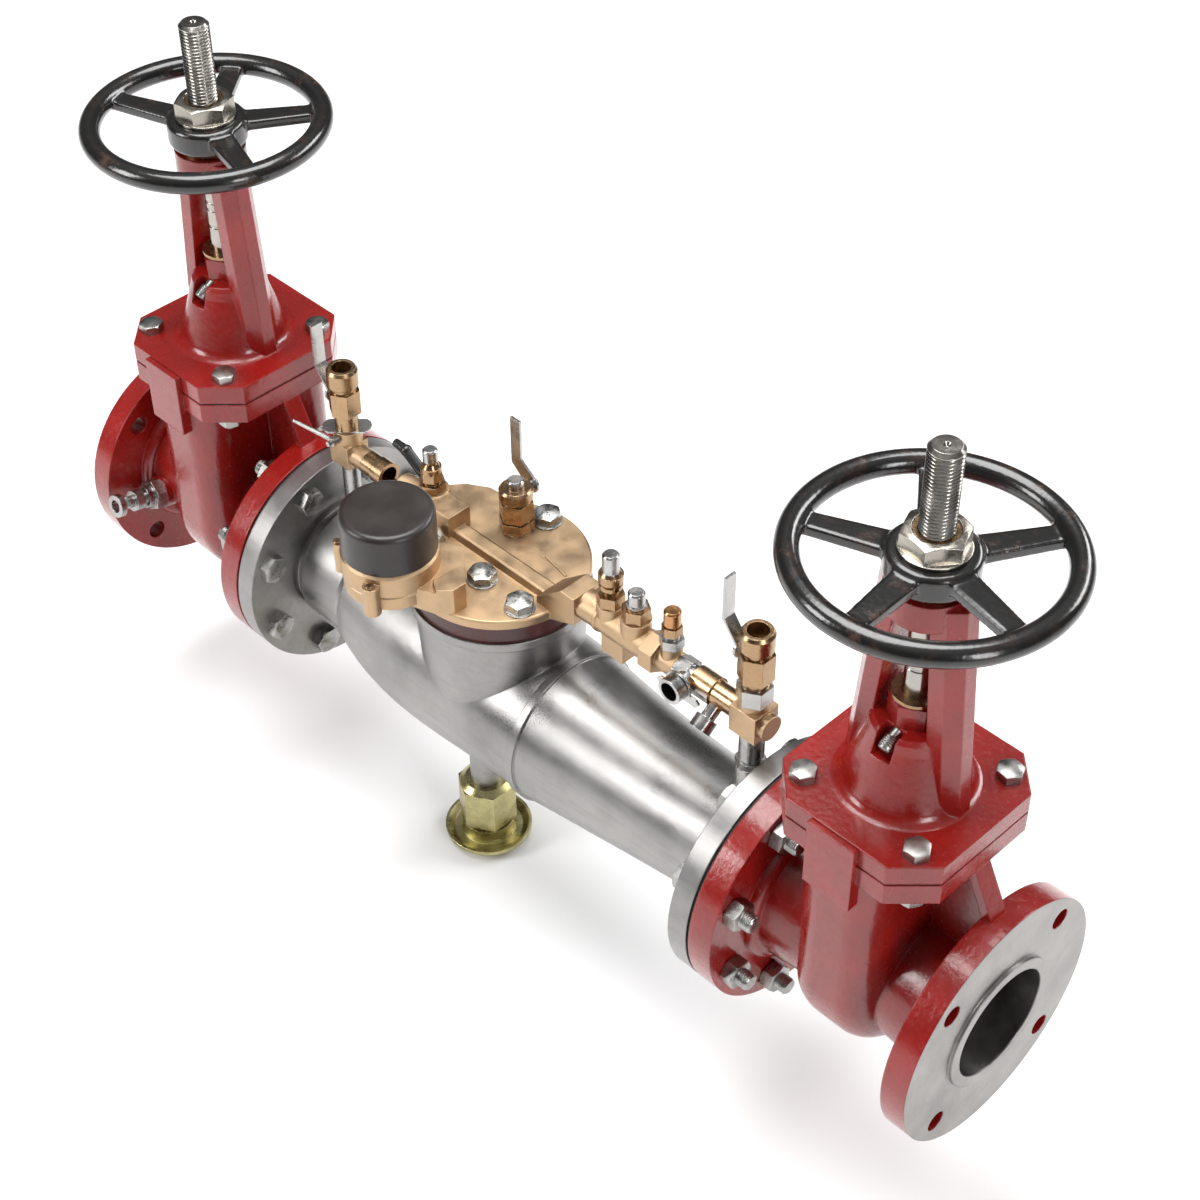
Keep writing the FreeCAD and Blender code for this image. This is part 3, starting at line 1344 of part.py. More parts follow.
def coil_spring(label, inner_dia, wire, low, high, turns, x, z, turn=UPRIGHT):
    """Coil spring between two seats, given along its own axis from (x, 0, z)."""
    radius = dim(inner_dia) / 2 + dim(wire) / 2
    low = low + dim(wire) * 0.44 + 0.05
    high = high - dim(wire) * 0.44 - 0.05
    helix = doc.addObject("Part::Helix", "Coil")
    bind(helix, "Radius", radius)
    bind(helix, "Pitch", (high - low) / turns)
    bind(helix, "Height", high - low)
    section = doc.addObject("Part::RegularPolygon", "Wire")
    section.Polygon = 6
    bind(section, "Circumradius", dim(wire) / 2)
    place(section, radius, 0, 0, Rotation(Vector(0, 0, 1), Vector(0, 1, 0)))
    sweep = doc.addObject("Part::Sweep", "Sweep")
    sweep.Sections = [section]
    sweep.Spine = (helix, ["Edge1"])
    sweep.Solid = True
    sweep.Frenet = True
    start = turn.multVec(Vector(0, 0, 1))
    place(helix)
    place(sweep, x + low * start.x, 0, z + low * start.z, turn)
    return node(sweep, label)


def check_spring(which):
    low = size["seat_thick"] + size["disc_thick"]
    high = size["seat_thick"] + size["cage_long"] - 5
    return coil_spring(which + "_check_spring", size["guide_dia"] + 6, 2.2, low, high, 5,
                       check_place(which), dim(0), ALONG_X)


# Relief fitting


def relief_body():
    """Hexagonal body under the relief nipple, with a groove and a round collar below."""
    tall = size["relief_tall"]
    stack = [("round", size["relief_flats"] + 1, 12), ("round", size["relief_flats"] - 8, 4),
             ("hex", size["relief_flats"], tall - 5),
             ("cone", size["relief_flats"] + 3, size["relief_flats"] - 9, 5)]
    bores = [(size["relief_bore"] - 8, -1, 6), (size["relief_bore"], 4, tall + 2),
             (size["nipple_dia"] - 12, tall, 20)]
    return fitting("relief_body", stack, bores, x=size["relief_x"], z=size["nipple_end"] - tall - 16)


def relief_dish():
    """Dished disc that throws the discharge aside."""
    radius = size["dish_dia"] / 2
    bore = size["relief_bore"] / 2
    thick = size["dish_thick"]
    top = size["nipple_end"] - size["relief_tall"] - 16
    return turned_body("relief_dish", [
        (bore - 4, -thick - 5), (bore + 2, -thick - 5), (bore + 4, -thick), (radius - 8, -thick),
        (radius, -2), (radius, 2), (radius - 3, 2), (radius - 9, -thick + 3), (bore + 13, -thick + 3),
        (bore + 12, 0), (bore - 4, 0)], x=size["relief_x"], z=top)


def relief_poppet():
    """Poppet held up against its seat by the spring."""
    seat = size["relief_tall"] + 6
    disc = size["relief_bore"] / 2 - 1.5
    return turned_body("relief_poppet", [
        (0, seat - 30), (dim(3), seat - 30), (dim(3), seat - 5), (disc, seat - 5), (disc, seat),
        (0, seat)], x=size["relief_x"], z=size["nipple_end"] - size["relief_tall"] - 16)


def relief_spring():
    base = size["nipple_end"] - size["relief_tall"] - 16
    return coil_spring("relief_spring", size["relief_bore"] - 8, 2, dim(4), size["relief_tall"] + 1, 6,
                       size["relief_x"], base)


# Bypass line


def inlet_bypass_column():
    """Riser, tee, wing plate, shutoff and levers over the first neck."""
    x = size["inlet_column"]
    tee_height = size["inlet_branch_height"]
    tee_low = tee_height - size["tee_side"] / 2
    tee_high = tee_height + size["tee_side"] / 2
    fitting("inlet_riser", [("round", size["riser_dia"], tee_low - size["boss_top"])],
            [(size["pipe_bore"], -1, tee_low - size["boss_top"] + 2)], x=x, z=size["boss_top"])
    collar = 13
    branch = rod(size["branch_dia"], 28, z=size["tee_side"] / 2, turn=ALONG_X)
    side = size["tee_side"]
    tee = joined([block(side, side, side), rod(side + 2, collar, z=side), branch])
    bores = [rod(size["pipe_bore"], side + collar + 2, z=-1),
             rod(size["pipe_bore"], 40, z=side / 2, turn=ALONG_X)]
    tee = less(tee, bores)
    place(tee, x, 0, tee_low)
    node(tee, "inlet_tee")
    sleeve_start = x + 28
    sleeve_long = size["sleeve_end"] - sleeve_start
    scoop = block(30, 30, 30, x=5, z=sleeve_long - 22)
    scoop.Placement = Placement(Vector(0, 0, 0), Rotation())
    place(scoop, -21, -15, sleeve_long - 18, Rotation())
    sleeve = less(joined(stack_solids([("round", size["sleeve_dia"] - 2, 14),
                                       ("round", size["sleeve_dia"], sleeve_long - 14)])),
                  [rod(size["sleeve_dia"] - 7, sleeve_long - 5, z=6), rod(size["pipe_bore"], 30, z=-1), scoop])
    place(sleeve, sleeve_start, 0, tee_height, ALONG_X)
    node(sleeve, "bypass_sleeve")
    plate_low = tee_high + collar
    wing_plate(x, plate_low)
    neck = 17.5
    stack = [("round", size["stop_spigot"], size["wing_thick"])] + shutoff_stack(neck, 25)
    fitting("inlet_shutoff", stack, shutoff_bores(size["wing_thick"] + neck + 25 + 24), x=x, z=plate_low)
    bent_lever("inlet_shutoff_lever", x - size["stop_flats"] / 2, plate_low + neck + 14)
    rod_lever(x + 2, tee_high + 8, size["tee_side"] / 2 + 1)


def shutoff_stack(neck, hex_tall):
    """Neck, hexagon and the open cap of a bypass shutoff."""
    cap = size["stop_cap_dia"]
    return [("round", size["stop_neck_dia"], neck), ("hex", size["stop_flats"], hex_tall),
            ("round", cap - 5, 4), ("cone", cap - 4, cap, 2), ("round", cap, 15), ("cone", cap, cap - 4, 3)]


def shutoff_bores(total):
    deep = size["stop_cap_deep"]
    return [(size["stop_cap_bore"], total - deep, deep + 1), (size["pipe_bore"], -1, dim(total) + 2)]


def wing_plate(x, z):
    """Bright sheet-metal plate with two rounded wings, clamped round the inlet neck."""
    body = new_body("wing_plate")
    sketch = new_sketch(body, "XY")
    reach, wide = dim(22), dim(10)
    tip = reach - wide * 0.5
    draw_outline(sketch, [(-tip, -wide, -wide * 1.15), (-tip, wide), (tip, wide, -wide * 1.15), (tip, -wide)])
    draw_circle(sketch, 0, 0, size["stop_spigot"] / 2 + 0.1)
    pad(body, sketch, size["wing_thick"])
    place(body, x, 0, z, Rotation(Vector(0, 0, 1), 45))
    return node(body, "wing_plate")


def bent_lever(label, x, z):
    """Chrome lever on a stub that points to -X: eye, slant outwards and upright blade."""
    body = new_body(label)
    thick = size["lever_thick"]
    sketch = new_sketch(body, "XZ")
    draw_outline(sketch, [
        (-3 - thick, dim(-7)), (dim(-3), dim(-7)), (dim(-3), dim(7)), (dim(-17), dim(26)),
        (dim(-17), dim(68)), (-17 - thick, dim(68)), (-17 - thick, dim(25)), (-3 - thick, dim(6.2))])
    pad(body, sketch, size["lever_wide"], both_ways=True)
    sketch = new_sketch(body, "YZ", -3 - thick / 2)
    draw_circle(sketch, 0, 0, dim(8))
    pad(body, sketch, thick, both_ways=True)
    sketch = new_sketch(body, "YZ", dim(-2))
    draw_circle(sketch, 0, 0, dim(4.5))
    pad(body, sketch, dim(3.4), both_ways=True)
    sketch = new_sketch(body, "YZ", -3 - thick - 1.5)
    draw_outline(sketch, hex_corners(8, dim(0), dim(0)))
    body.Tip = pad(body, sketch, dim(3), both_ways=True)
    place(body, x, 0, z)
    return node(body, label)


def cranked_lever(label, x, y, z):
    """Chrome lever on a stub that points to +Y: flat, cranked sideways, then upright."""
    body = new_body(label)
    thick = size["lever_thick"]
    sketch = new_sketch(body, "XZ", -3 - thick / 2)
    draw_outline(sketch, [
        (dim(6), dim(-5)), (dim(7), dim(5)), (dim(-13), dim(20)), (dim(-13), dim(62)),
        (dim(-25), dim(62)), (dim(-25), dim(12)), (dim(-5), dim(-6))])
    pad(body, sketch, thick, both_ways=True)
    sketch = new_sketch(body, "XZ", -3 - thick / 2)
    draw_circle(sketch, 0, 0, dim(8.5))
    pad(body, sketch, thick, both_ways=True)
    sketch = new_sketch(body, "XZ", dim(-2))
    draw_circle(sketch, 0, 0, dim(4.5))
    pad(body, sketch, dim(3.4), both_ways=True)
    sketch = new_sketch(body, "XZ", -3 - thick - 1.5)
    draw_outline(sketch, hex_corners(8, dim(0), dim(0)))
    body.Tip = pad(body, sketch, dim(3), both_ways=True)
    place(body, x, y, z)
    return node(body, label)


def rod_lever(x, z, out):
    """Thin tapered rod on a round hub in front of the inlet tee's collar."""
    forward = Rotation(Vector(0, 0, 1), Vector(0, -1, 0))
    back = Rotation(Vector(0, 0, 1), Vector(-0.96, -0.24, 0.12))
    whole = joined([rod(9, 8, y=-0.3, turn=forward), rod(5, 4, y=-8.3, turn=forward),
                    rod(5, 46, y=-4.5, turn=back, end_diameter=3.2)])
    place(whole, x, -(dim(out)), z)
    return node(whole, "rod_lever")


def black_lever():
    """Black handle behind the cover's inlet boss."""
    back = Rotation(Vector(0, 0, 1), Vector(0, 1, 0))
    rise = Rotation(Vector(0, 0, 1), Vector(-0.84, 0, 0.54))
    tip = Rotation(Vector(0, 0, 1), Vector(-1, 0, 0.08))
    knee = Vector(-0.84, 0, 0.54) * 34
    whole = joined([rod(12, 7, y=0.3, turn=back), rod(10.5, 34, y=6.3, turn=rise),
                    ball(11.4, knee.x, 6.3, knee.z),
                    rod(10, 15, x=knee.x, y=6.3, z=knee.z, turn=tip, end_diameter=8)])
    place(whole, size["sleeve_end"] + 12, 15, size["inlet_branch_height"])
    return node(whole, "black_lever")


def front_test_cock():
    """Brass test cock on the cover's inlet boss, with a bright plug."""
    x, y = front_cock_place()
    stack = [("hex", 23, 8), ("round", 17, 3), ("hex", 18, 9), ("round", 19, 5), ("cone", 17, 12, 4),
             ("round", 11, 3), ("round", 14, 11), ("cone", 14, 11, 1.5)]
    return fitting("front_test_cock", stack, x=x, y=y, z=front_cock_foot())


def cover_shutoff():
    """Tall brass shutoff on the cover, with a bright plug in its mouth."""
    x, y = cover_stop_place()
    stack = [("hex", 29, 9), ("round", 26, 2), ("hex", 28, 19), ("round", 27, 3), ("round", 31, 9),
             ("cone", 31, 27, 2), ("round", 16, 7), ("cone", 16, 13, 1.5)]
    fitting("cover_shutoff", stack, x=x, y=y, z=size["cover_top"] + 3)
    cranked_lever("cover_shutoff_lever", x, y + 15.5, size["cover_top"] + 39)


def manifold():
    """Bronze bar with three bosses on top, a square foot and a hexagonal end."""
    start = size["manifold_start"]
    bar = size["manifold_dia"]
    height = size["bypass_height"]
    long = size["manifold_end"] - start
    pieces = [
        rod(bar, 78, turn=ALONG_X),
        rod(bar + 2, 3, x=20, turn=ALONG_X),
        rod(bar - 4, long, turn=ALONG_X),
        rod(25, 20, x=29),
        rod(27, 22, x=59),
        rod(19, 19, x=100),
        block(25, 24, 26, x=42, z=-27),
    ]
    end_hex = doc.addObject("Part::Prism", "EndHex")
    end_hex.Polygon = 6
    bind(end_hex, "Circumradius", dim(32) / math.sqrt(3))
    bind(end_hex, "Height", 15)
    place(end_hex, 76, 0, 0, ALONG_X)
    whole = less(joined(pieces + [end_hex]), [rod(size["pipe_bore"], long + 4, x=-2, turn=ALONG_X)])
    place(whole, start, 0, height)
    node(whole, "manifold")
    cocks = [
        ("first_manifold_cock", 29, 20, [("hex", 22, 12), ("round", 13, 7), ("round", 21, 4),
                                         ("cone", 19, 22, 3), ("round", 22, 7), ("cone", 20, 15, 3),
                                         ("round", 15, 17), ("cone", 15, 12, 1.5)]),
        ("second_manifold_cock", 59, 22, [("hex", 22, 13), ("round", 18, 3), ("round", 15, 12),
                                          ("cone", 15, 12, 1.5)]),
        ("third_manifold_cock", 100, 19, [("hex", 19, 9), ("round", 13, 4), ("hex", 16, 9),
                                          ("round", 12, 2), ("round", 15, 13), ("cone", 15, 12, 1.5)]),
    ]
    for label, along, up, stack in cocks:
        fitting(label, stack, x=start + along, z=height + up)


def drain_valve():
    """Bright hexagon, brass barrel and two ports that face the front."""
    start = size["manifold_end"]
    tee_start = size["outlet_column"] - size["outlet_tee_side"] / 2
    long = tee_start - start
    height = size["bypass_height"]
    forward = Rotation(Vector(0, 0, 1), Vector(0, -1, 0))
    slope = Rotation(Vector(0, 0, 1), Vector(0, -0.8, -0.6))
    hexagon = doc.addObject("Part::Prism", "DrainHex")
    hexagon.Polygon = 6
    bind(hexagon, "Circumradius", dim(23) / math.sqrt(3))
    bind(hexagon, "Height", 14)
    place(hexagon, 0, 0, 0, ALONG_X)
    whole = joined([hexagon, rod(20, long, turn=ALONG_X), rod(26, 22, x=20, turn=ALONG_X),
                    rod(22, long - 42, x=42, turn=ALONG_X),
                    rod(18, 19, x=14, turn=forward), rod(size["drain_port_dia"], 10, x=14, y=-18.3, turn=forward),
                    rod(13, 24, x=48, turn=slope), rod(20, 12, x=48, y=-17.6, z=-13.2, turn=slope)])
    holes = [rod(size["pipe_bore"], long + 4, x=-2, turn=ALONG_X),
             rod(size["drain_port_dia"] - 7, 14, x=14, y=-17, turn=forward),
             rod(13, 12, x=48, y=-21, z=-15.75, turn=slope)]
    whole = less(whole, holes)
    place(whole, start, 0, height)
    node(whole, "drain_valve")
    # wing handle: a collar with two wings that turns on the port's neck
    body = new_body("wing_handle")
    sketch = new_sketch(body, "XZ", dim(0))
    draw_circle(sketch, 0, 0, dim(13.5))
    pad(body, sketch, dim(2.4), both_ways=True)
    sketch = new_sketch(body, "XZ", dim(0))
    draw_outline(sketch, [(dim(-24), dim(-7)), (dim(-20), dim(-12)), (dim(0), dim(-11)), (dim(20), dim(-12)),
                          (dim(24), dim(-7)), (dim(20), dim(-3)), (dim(-20), dim(-3))])
    pad(body, sketch, dim(2.4), both_ways=True)
    sketch = new_sketch(body, "XZ", dim(0))
    draw_circle(sketch, 0, 0, dim(9.3))
    body.Tip = pocket(body, sketch, dim(6))
    place(body, start + 14, -16.6, height)
    return node(body, "wing_handle")


def outlet_bypass_column():
    """Riser, tee with its plug, shutoff and lever over the long taper."""
    x = size["outlet_column"]
    side = size["outlet_tee_side"]
    height = size["bypass_height"]
    tee_low = height - side / 2
    tall = tee_low - size["boss_top"]
    fitting("outlet_riser", [("cone", 30, 26, 5), ("round", 26, 22), ("hex", 24, 6), ("round", 22, tall - 33)],
            [(size["pipe_bore"], -1, tall + 2)], x=x, z=size["boss_top"])
    plug = rod(23, 6, x=side / 2, z=side / 2, turn=ALONG_X)
    tee = less(joined([block(side, side, side), rod(side - 1, 7, z=side), plug]),
               [rod(size["pipe_bore"], side + 9, z=-1),
                rod(size["pipe_bore"], side, x=-side / 2 - 1, z=side / 2, turn=ALONG_X)])
    place(tee, x, 0, tee_low)
    node(tee, "outlet_tee")
    foot = tee_low + side + 7
    stack = [("hex", 27, 17), ("round", 23, 2)] + shutoff_stack(5, 27)
    fitting("outlet_shutoff", stack, shutoff_bores(17 + 2 + 5 + 27 + 24), x=x, z=foot)
    bent_lever("outlet_shutoff_lever", x - size["stop_flats"] / 2, foot + 44)


# Meter


def meter():
    """Bronze meter on the cover's edge, its register and the black cap over it."""
    x, y = size["meter_x"], size["meter_y"]
    low = size["cover_top"]
    high = low + size["meter_tall"]
    radius = size["meter_dia"] / 2
    body = new_body("meter_body")
    sketch = new_sketch(body, "XZ")
    tall = size["meter_tall"]
    band = tall * 0.42
    draw_outline(sketch, [(0, 0), (radius - 6, 0), (radius - 1, dim(5)), (radius - 1, band - 1),
                          (radius - 2, band), (radius - 1, band + 1), (radius, band + 2), (radius, tall - 3),
                          (radius - 3, tall), (0, tall)])
    revolve(body, sketch)
    # platform and ear over the cover
    sketch = new_sketch(body, "XY")
    draw_outline(sketch, [(dim(-6), dim(38)), (dim(30), dim(58)), (dim(58), dim(34)), (dim(70), dim(24)),
                          (dim(70), dim(10)), (dim(60), dim(-1)), (dim(30), dim(-12))])
    pad(body, sketch, size["ear_tall"] - 4)
    sketch = new_sketch(body, "XY")
    draw_outline(sketch, [(dim(50), dim(36)), (dim(58), dim(34)), (dim(70), dim(24)), (dim(70), dim(10)),
                          (dim(60), dim(-1)), (dim(48), dim(6))])
    pad(body, sketch, size["ear_tall"])
    # front lug with its screw boss, and the side lug
    for angle, wide in ((-62, 15), (-150, 12)):
        turn = math.radians(angle)
        sketch = new_sketch(body, "XY", dim(4))
        reach = radius + 2.5
        draw_circle(sketch, reach * math.cos(turn), reach * math.sin(turn), dim(wide) / 2)
        pad(body, sketch, tall - 12)
    body.Tip = body.Group[-1]
    place(body, x, y, low)
    node(body, "meter_body")
    cap = size["cap_dia"] / 2
    wall = size["cap_wall"]
    tall = size["cap_tall"]
    blend = size["cap_round"]
    turned_body("meter_cap", [
        (cap - wall, 0), (cap, 0), (cap, tall - blend, blend), (cap - blend, tall), (0, tall),
        (0, tall - wall), (cap - blend, tall - wall), (cap - wall, tall - blend)], x=x, y=y, z=high)
    inner = cap - wall - 3
    turned_body("meter_register", [
        (0, 0), (inner, 0), (inner, 22), (inner - 3, 25), (inner - 6, 25), (inner - 7, 23), (0, 23)],
        x=x, y=y, z=high)


def export_parts():
    """Check every object, then write one STEP file for each sub-part."""
    doc.recompute()
    for thing in doc.Objects:
        if "Invalid" in thing.State or "Error" in thing.State:
            raise RuntimeError("%s (%s) failed: %s" % (thing.Name, thing.Label, thing.State))
    os.makedirs("parts", exist_ok=True)
    for thing in NODES:
        shape = thing.Shape
        if shape.isNull() or not shape.isValid() or not shape.Solids:
            raise RuntimeError("bad shape: " + thing.Label)
        shape.exportStep("parts/%s.step" % thing.Label)


gate_valve("inlet", inlet_axis, -1, 4, -16)
gate_valve("outlet", outlet_axis, 1, 5, -14)
pair("bonnet_gaskets", bonnet_gasket)
pair("gland_nuts", gland_nut)
pair("gland_rings", gland_ring)
pair("gland_lock_screws", lock_screw)
bonnet_bolts()
joint_bolts()
joint_gaskets()
inlet_test_cock()
check_body()
cover_ring()
cover()
cover_bolts()
for check in ("first", "second"):
    check_seat(check)
    check_disc(check)
    check_spring(check)
relief_body()
relief_dish()
relief_poppet()
relief_spring()
inlet_bypass_column()
black_lever()
front_test_cock()
cover_shutoff()
manifold()
drain_valve()
outlet_bypass_column()
meter()
export_parts()
print("nodes:", len(NODES))
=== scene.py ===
"""Looks of a reduced pressure detector assembly, laid out as an add-on and run as a script.

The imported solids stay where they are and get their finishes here. Threads, handwheels, bolts and
the small screws are modelled anew in the same place. Metres; the pipe runs along X, Z is up.
"""

import json
import math

import bpy
from bpy.props import FloatProperty, FloatVectorProperty, IntProperty, PointerProperty
from bpy.types import Operator, Panel, PropertyGroup
from mathutils import Matrix, Vector

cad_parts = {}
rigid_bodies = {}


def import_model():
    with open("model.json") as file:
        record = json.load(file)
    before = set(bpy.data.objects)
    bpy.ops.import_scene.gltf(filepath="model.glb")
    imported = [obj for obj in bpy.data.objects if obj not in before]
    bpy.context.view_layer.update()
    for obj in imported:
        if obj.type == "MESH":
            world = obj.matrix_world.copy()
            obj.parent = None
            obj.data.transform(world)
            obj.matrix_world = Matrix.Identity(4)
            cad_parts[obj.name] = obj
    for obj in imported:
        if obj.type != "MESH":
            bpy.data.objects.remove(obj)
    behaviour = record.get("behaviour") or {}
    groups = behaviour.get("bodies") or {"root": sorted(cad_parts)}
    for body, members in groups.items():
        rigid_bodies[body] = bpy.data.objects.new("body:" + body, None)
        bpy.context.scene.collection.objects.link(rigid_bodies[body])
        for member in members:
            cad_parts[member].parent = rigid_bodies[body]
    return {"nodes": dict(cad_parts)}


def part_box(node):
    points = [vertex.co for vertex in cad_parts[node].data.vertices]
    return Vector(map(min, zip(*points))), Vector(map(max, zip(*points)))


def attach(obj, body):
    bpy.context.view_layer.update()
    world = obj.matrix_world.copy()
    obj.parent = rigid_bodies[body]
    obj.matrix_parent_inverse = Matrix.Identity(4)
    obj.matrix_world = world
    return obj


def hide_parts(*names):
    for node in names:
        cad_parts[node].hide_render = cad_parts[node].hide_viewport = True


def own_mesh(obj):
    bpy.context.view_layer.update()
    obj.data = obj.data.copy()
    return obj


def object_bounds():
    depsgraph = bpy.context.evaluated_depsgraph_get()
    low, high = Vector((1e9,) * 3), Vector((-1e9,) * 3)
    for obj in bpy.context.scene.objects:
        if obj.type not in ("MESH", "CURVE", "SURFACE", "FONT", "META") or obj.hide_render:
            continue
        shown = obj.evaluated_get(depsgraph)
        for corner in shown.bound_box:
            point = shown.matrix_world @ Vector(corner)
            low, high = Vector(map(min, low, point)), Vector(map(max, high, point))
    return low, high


bl_info = {
    "name": "Detector Assembly Looks",
    "version": (1, 0, 0),
    "blender": (4, 5, 0),
    "location": "View3D > Sidebar > Detector Assembly",
    "description": "Finishes, threads, handwheels and bolts of a reduced pressure detector assembly",
    "category": "Object",
}

bpy.ops.object.select_all(action="SELECT")
bpy.ops.object.delete()
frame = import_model()
CAD_LOW, CAD_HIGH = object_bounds()


def middle(node):
    """Middle of a CAD node's box."""
    low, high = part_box(node)
    return (low + high) / 2


VALVES = {
    "inlet": {"axis": middle("inlet_stem").x, "spokes": 4, "first_spoke": -16.0},
    "outlet": {"axis": middle("outlet_stem").x, "spokes": 5, "first_spoke": -14.0},
}
STEM_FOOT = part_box("inlet_stem")[0].z
STEM_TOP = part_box("inlet_stem")[1].z
HUB_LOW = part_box("inlet_handwheel")[0].z
NUT_LOW, NUT_HIGH = (corner.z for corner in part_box("inlet_handwheel_nut"))
COVER_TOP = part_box("meter_body")[0].z
COVER_CENTRE = Vector((0.480, 0.0, 0.0))
SHORT_COVER_BOLT = Vector((0.489, -0.029, 0.0))  # holds only the meter's side of the cover
COVER_BOLT_REACH = 0.067
COVER_BOLT_ANGLES = (-28, 97, 205)
METER_LUG_ANGLES = (-62, -150)
METER_LUG_REACH = 0.0485
RAISED_LINE = ((0.4966, 0.0277), (0.5345, 0.0291))  # far side of the cover
STEM_GROOVES = (0.028, 0.046, 0.054)  # above the gland nut
BONNET_HEAD, BONNET_NUT, BONNET_TAIL, BONNET_PITCH = 0.0085, 0.010, 0.005, 0.00175
JOINT_HEAD, JOINT_NUT, JOINT_TAIL = 0.010, 0.013, 0.011
WASHER_THICK = 0.0015
SOFTBOXES = (  # name, place, width and height, share of the key light
    ("overhead_softbox", (0.2, 0.1, 2.7), (2.2, 1.6), 1.0),
    ("front_softbox", (-0.9, -2.2, 1.3), (0.9, 1.3), 0.42),
    ("back_softbox", (1.3, 2.3, 1.6), (1.9, 0.6), 0.40),
    ("side_softbox", (2.9, -0.6, 1.0), (0.5, 1.2), 0.22),
)


# Sizes and colours that a user would change


def length(name, description, default):
    return FloatProperty(name=name, description=description, default=default, min=0.0, unit="LENGTH")


def colour(name, description, default):
    return FloatVectorProperty(name=name, description=description, default=default, size=3,
                               min=0.0, max=1.0, subtype="COLOR")


class DetectorColours(PropertyGroup):
    red: colour("Red paint", "Paint of the gate valves", (0.275, 0.0095, 0.007))
    ring: colour("Ring paint", "Paint of the ring under the cover", (0.062, 0.010, 0.008))
    stainless: colour("Stainless", "Blasted steel of the check body", (0.36, 0.35, 0.34))
    machined: colour("Machined face", "Turned flange faces of the valves", (0.37, 0.355, 0.34))
    bronze: colour("Cast bronze", "Cover, meter body and manifold", (0.55, 0.385, 0.235))
    brass: colour("Turned brass", "Shutoffs and test cocks", (0.42, 0.275, 0.155))
    nickel: colour("Bright plating", "Levers, plugs and drain ports", (0.50, 0.49, 0.475))
    copper: colour("Copper", "Tip of the third manifold cock", (0.56, 0.29, 0.13))
    bolt: colour("Zinc bolts", "Bolts and nuts", (0.42, 0.415, 0.395))
    enamel: colour("Black enamel", "Handwheels", (0.008, 0.0075, 0.007))
    worn: colour("Worn enamel", "Thin places in the enamel", (0.075, 0.032, 0.018))
    cap: colour("Cap plastic", "Meter cap", (0.026, 0.020, 0.018))
    zinc: colour("Yellow zinc", "Relief fitting", (0.60, 0.54, 0.27))
    dial: colour("Dial face", "Face of the meter's register", (0.82, 0.82, 0.78))
    floor: colour("Floor", "Studio floor", (0.93, 0.93, 0.93))


class DetectorThreads(PropertyGroup):
    stem_lead: length("Stem lead", "Rise of the stem in one turn of the wheel", 0.00635)
    stem_crest: length("Stem crest", "Radius over the stem's thread", 0.01345)
    stem_root: length("Stem root", "Radius under the stem's thread", 0.0119)
    stem_smooth: length("Smooth stem", "Radius of the stem in the gland", 0.011)
    groove: length("Groove depth", "Depth of the grooves in the smooth stem", 0.0008)
    stem_step: length("Thread start", "Height where the open stem's thread starts", 0.402)
    starts: IntProperty(name="Starts", description="Threads side by side on the stem", default=2, min=1)
    bolt_pitch: length("Bolt pitch", "Pitch of the bolts' threads", 0.002)


class DetectorWheels(PropertyGroup):
    rim_height: length("Rim height", "Height of the middle of the rim", 0.4203)
    rim_radius: length("Rim radius", "Radius of the rim's centre line", 0.1024)
    rim_tube: length("Rim tube", "Radius of the rim's section", 0.0097)
    hub_radius: length("Hub radius", "Radius of the hub", 0.0355)
    hub_bore: length("Hub bore", "Radius of the hole in the hub", 0.0212)
    hub_tall: length("Hub height", "Height of the hub", 0.025)
    spoke_hub: length("Spoke at hub", "Width of a spoke at the hub", 0.024)
    spoke_rim: length("Spoke at rim", "Width of a spoke at the rim", 0.0175)
    spoke_thick: length("Spoke thickness", "Thickness of a spoke", 0.0095)
    grain: length("Casting grain", "Size of the cells that blend the casting", 0.0013)
    nut_flats: length("Nut flats", "Handwheel nut across flats", 0.046)
    nut_rim: length("Nut rim", "Radius of the handwheel nut's flange", 0.027)
    nut_bore: length("Nut bore", "Radius of the hole in the handwheel nut", 0.017)


class DetectorBolts(PropertyGroup):
    joint_circle: length("Joint circle", "Radius of the flange joints' bolt circle", 0.09525)
    joint_radius: length("Joint bolt", "Radius of a joint bolt", 0.008)
    joint_flats: length("Joint flats", "Joint bolt across flats", 0.024)
    joint_grip: length("Joint grip", "Joint bolt between head and nut", 0.047)
    bonnet_spot: length("Bonnet spot", "Bonnet bolts off the valve axis, both ways", 0.0555)
    bonnet_radius: length("Bonnet bolt", "Radius of a bonnet bolt", 0.006)
    bonnet_flats: length("Bonnet flats", "Bonnet bolt across flats", 0.020)
    bonnet_grip: length("Bonnet grip", "Bonnet bolt between head and nut", 0.040)
    cover_radius: length("Cover bolt", "Radius of a cover bolt", 0.008)
    cover_flats: length("Cover flats", "Cover bolt across flats", 0.023)
    cover_short: length("Short cover bolt", "Shank of the bolt that only holds the cover", 0.012)
    lock_radius: length("Lock screw", "Radius of a gland lock screw", 0.00625)
    lock_long: length("Lock length", "Length of a gland lock screw", 0.019)
    lock_seat: length("Lock seat", "Thinner end of the screw in the dome", 0.006)
    lock_out: length("Lock out", "Seat of the screw in front of the valve's axis", 0.0176)
    lock_height: length("Lock height", "Height of the screw's seat", 0.258)
    lock_pitch: length("Lock pitch", "Pitch of the lock screw's thread", 0.00175)
    lock_lean: FloatProperty(name="Lock lean", description="Turn of the screw from upright",
                             subtype="ANGLE", default=math.radians(120))


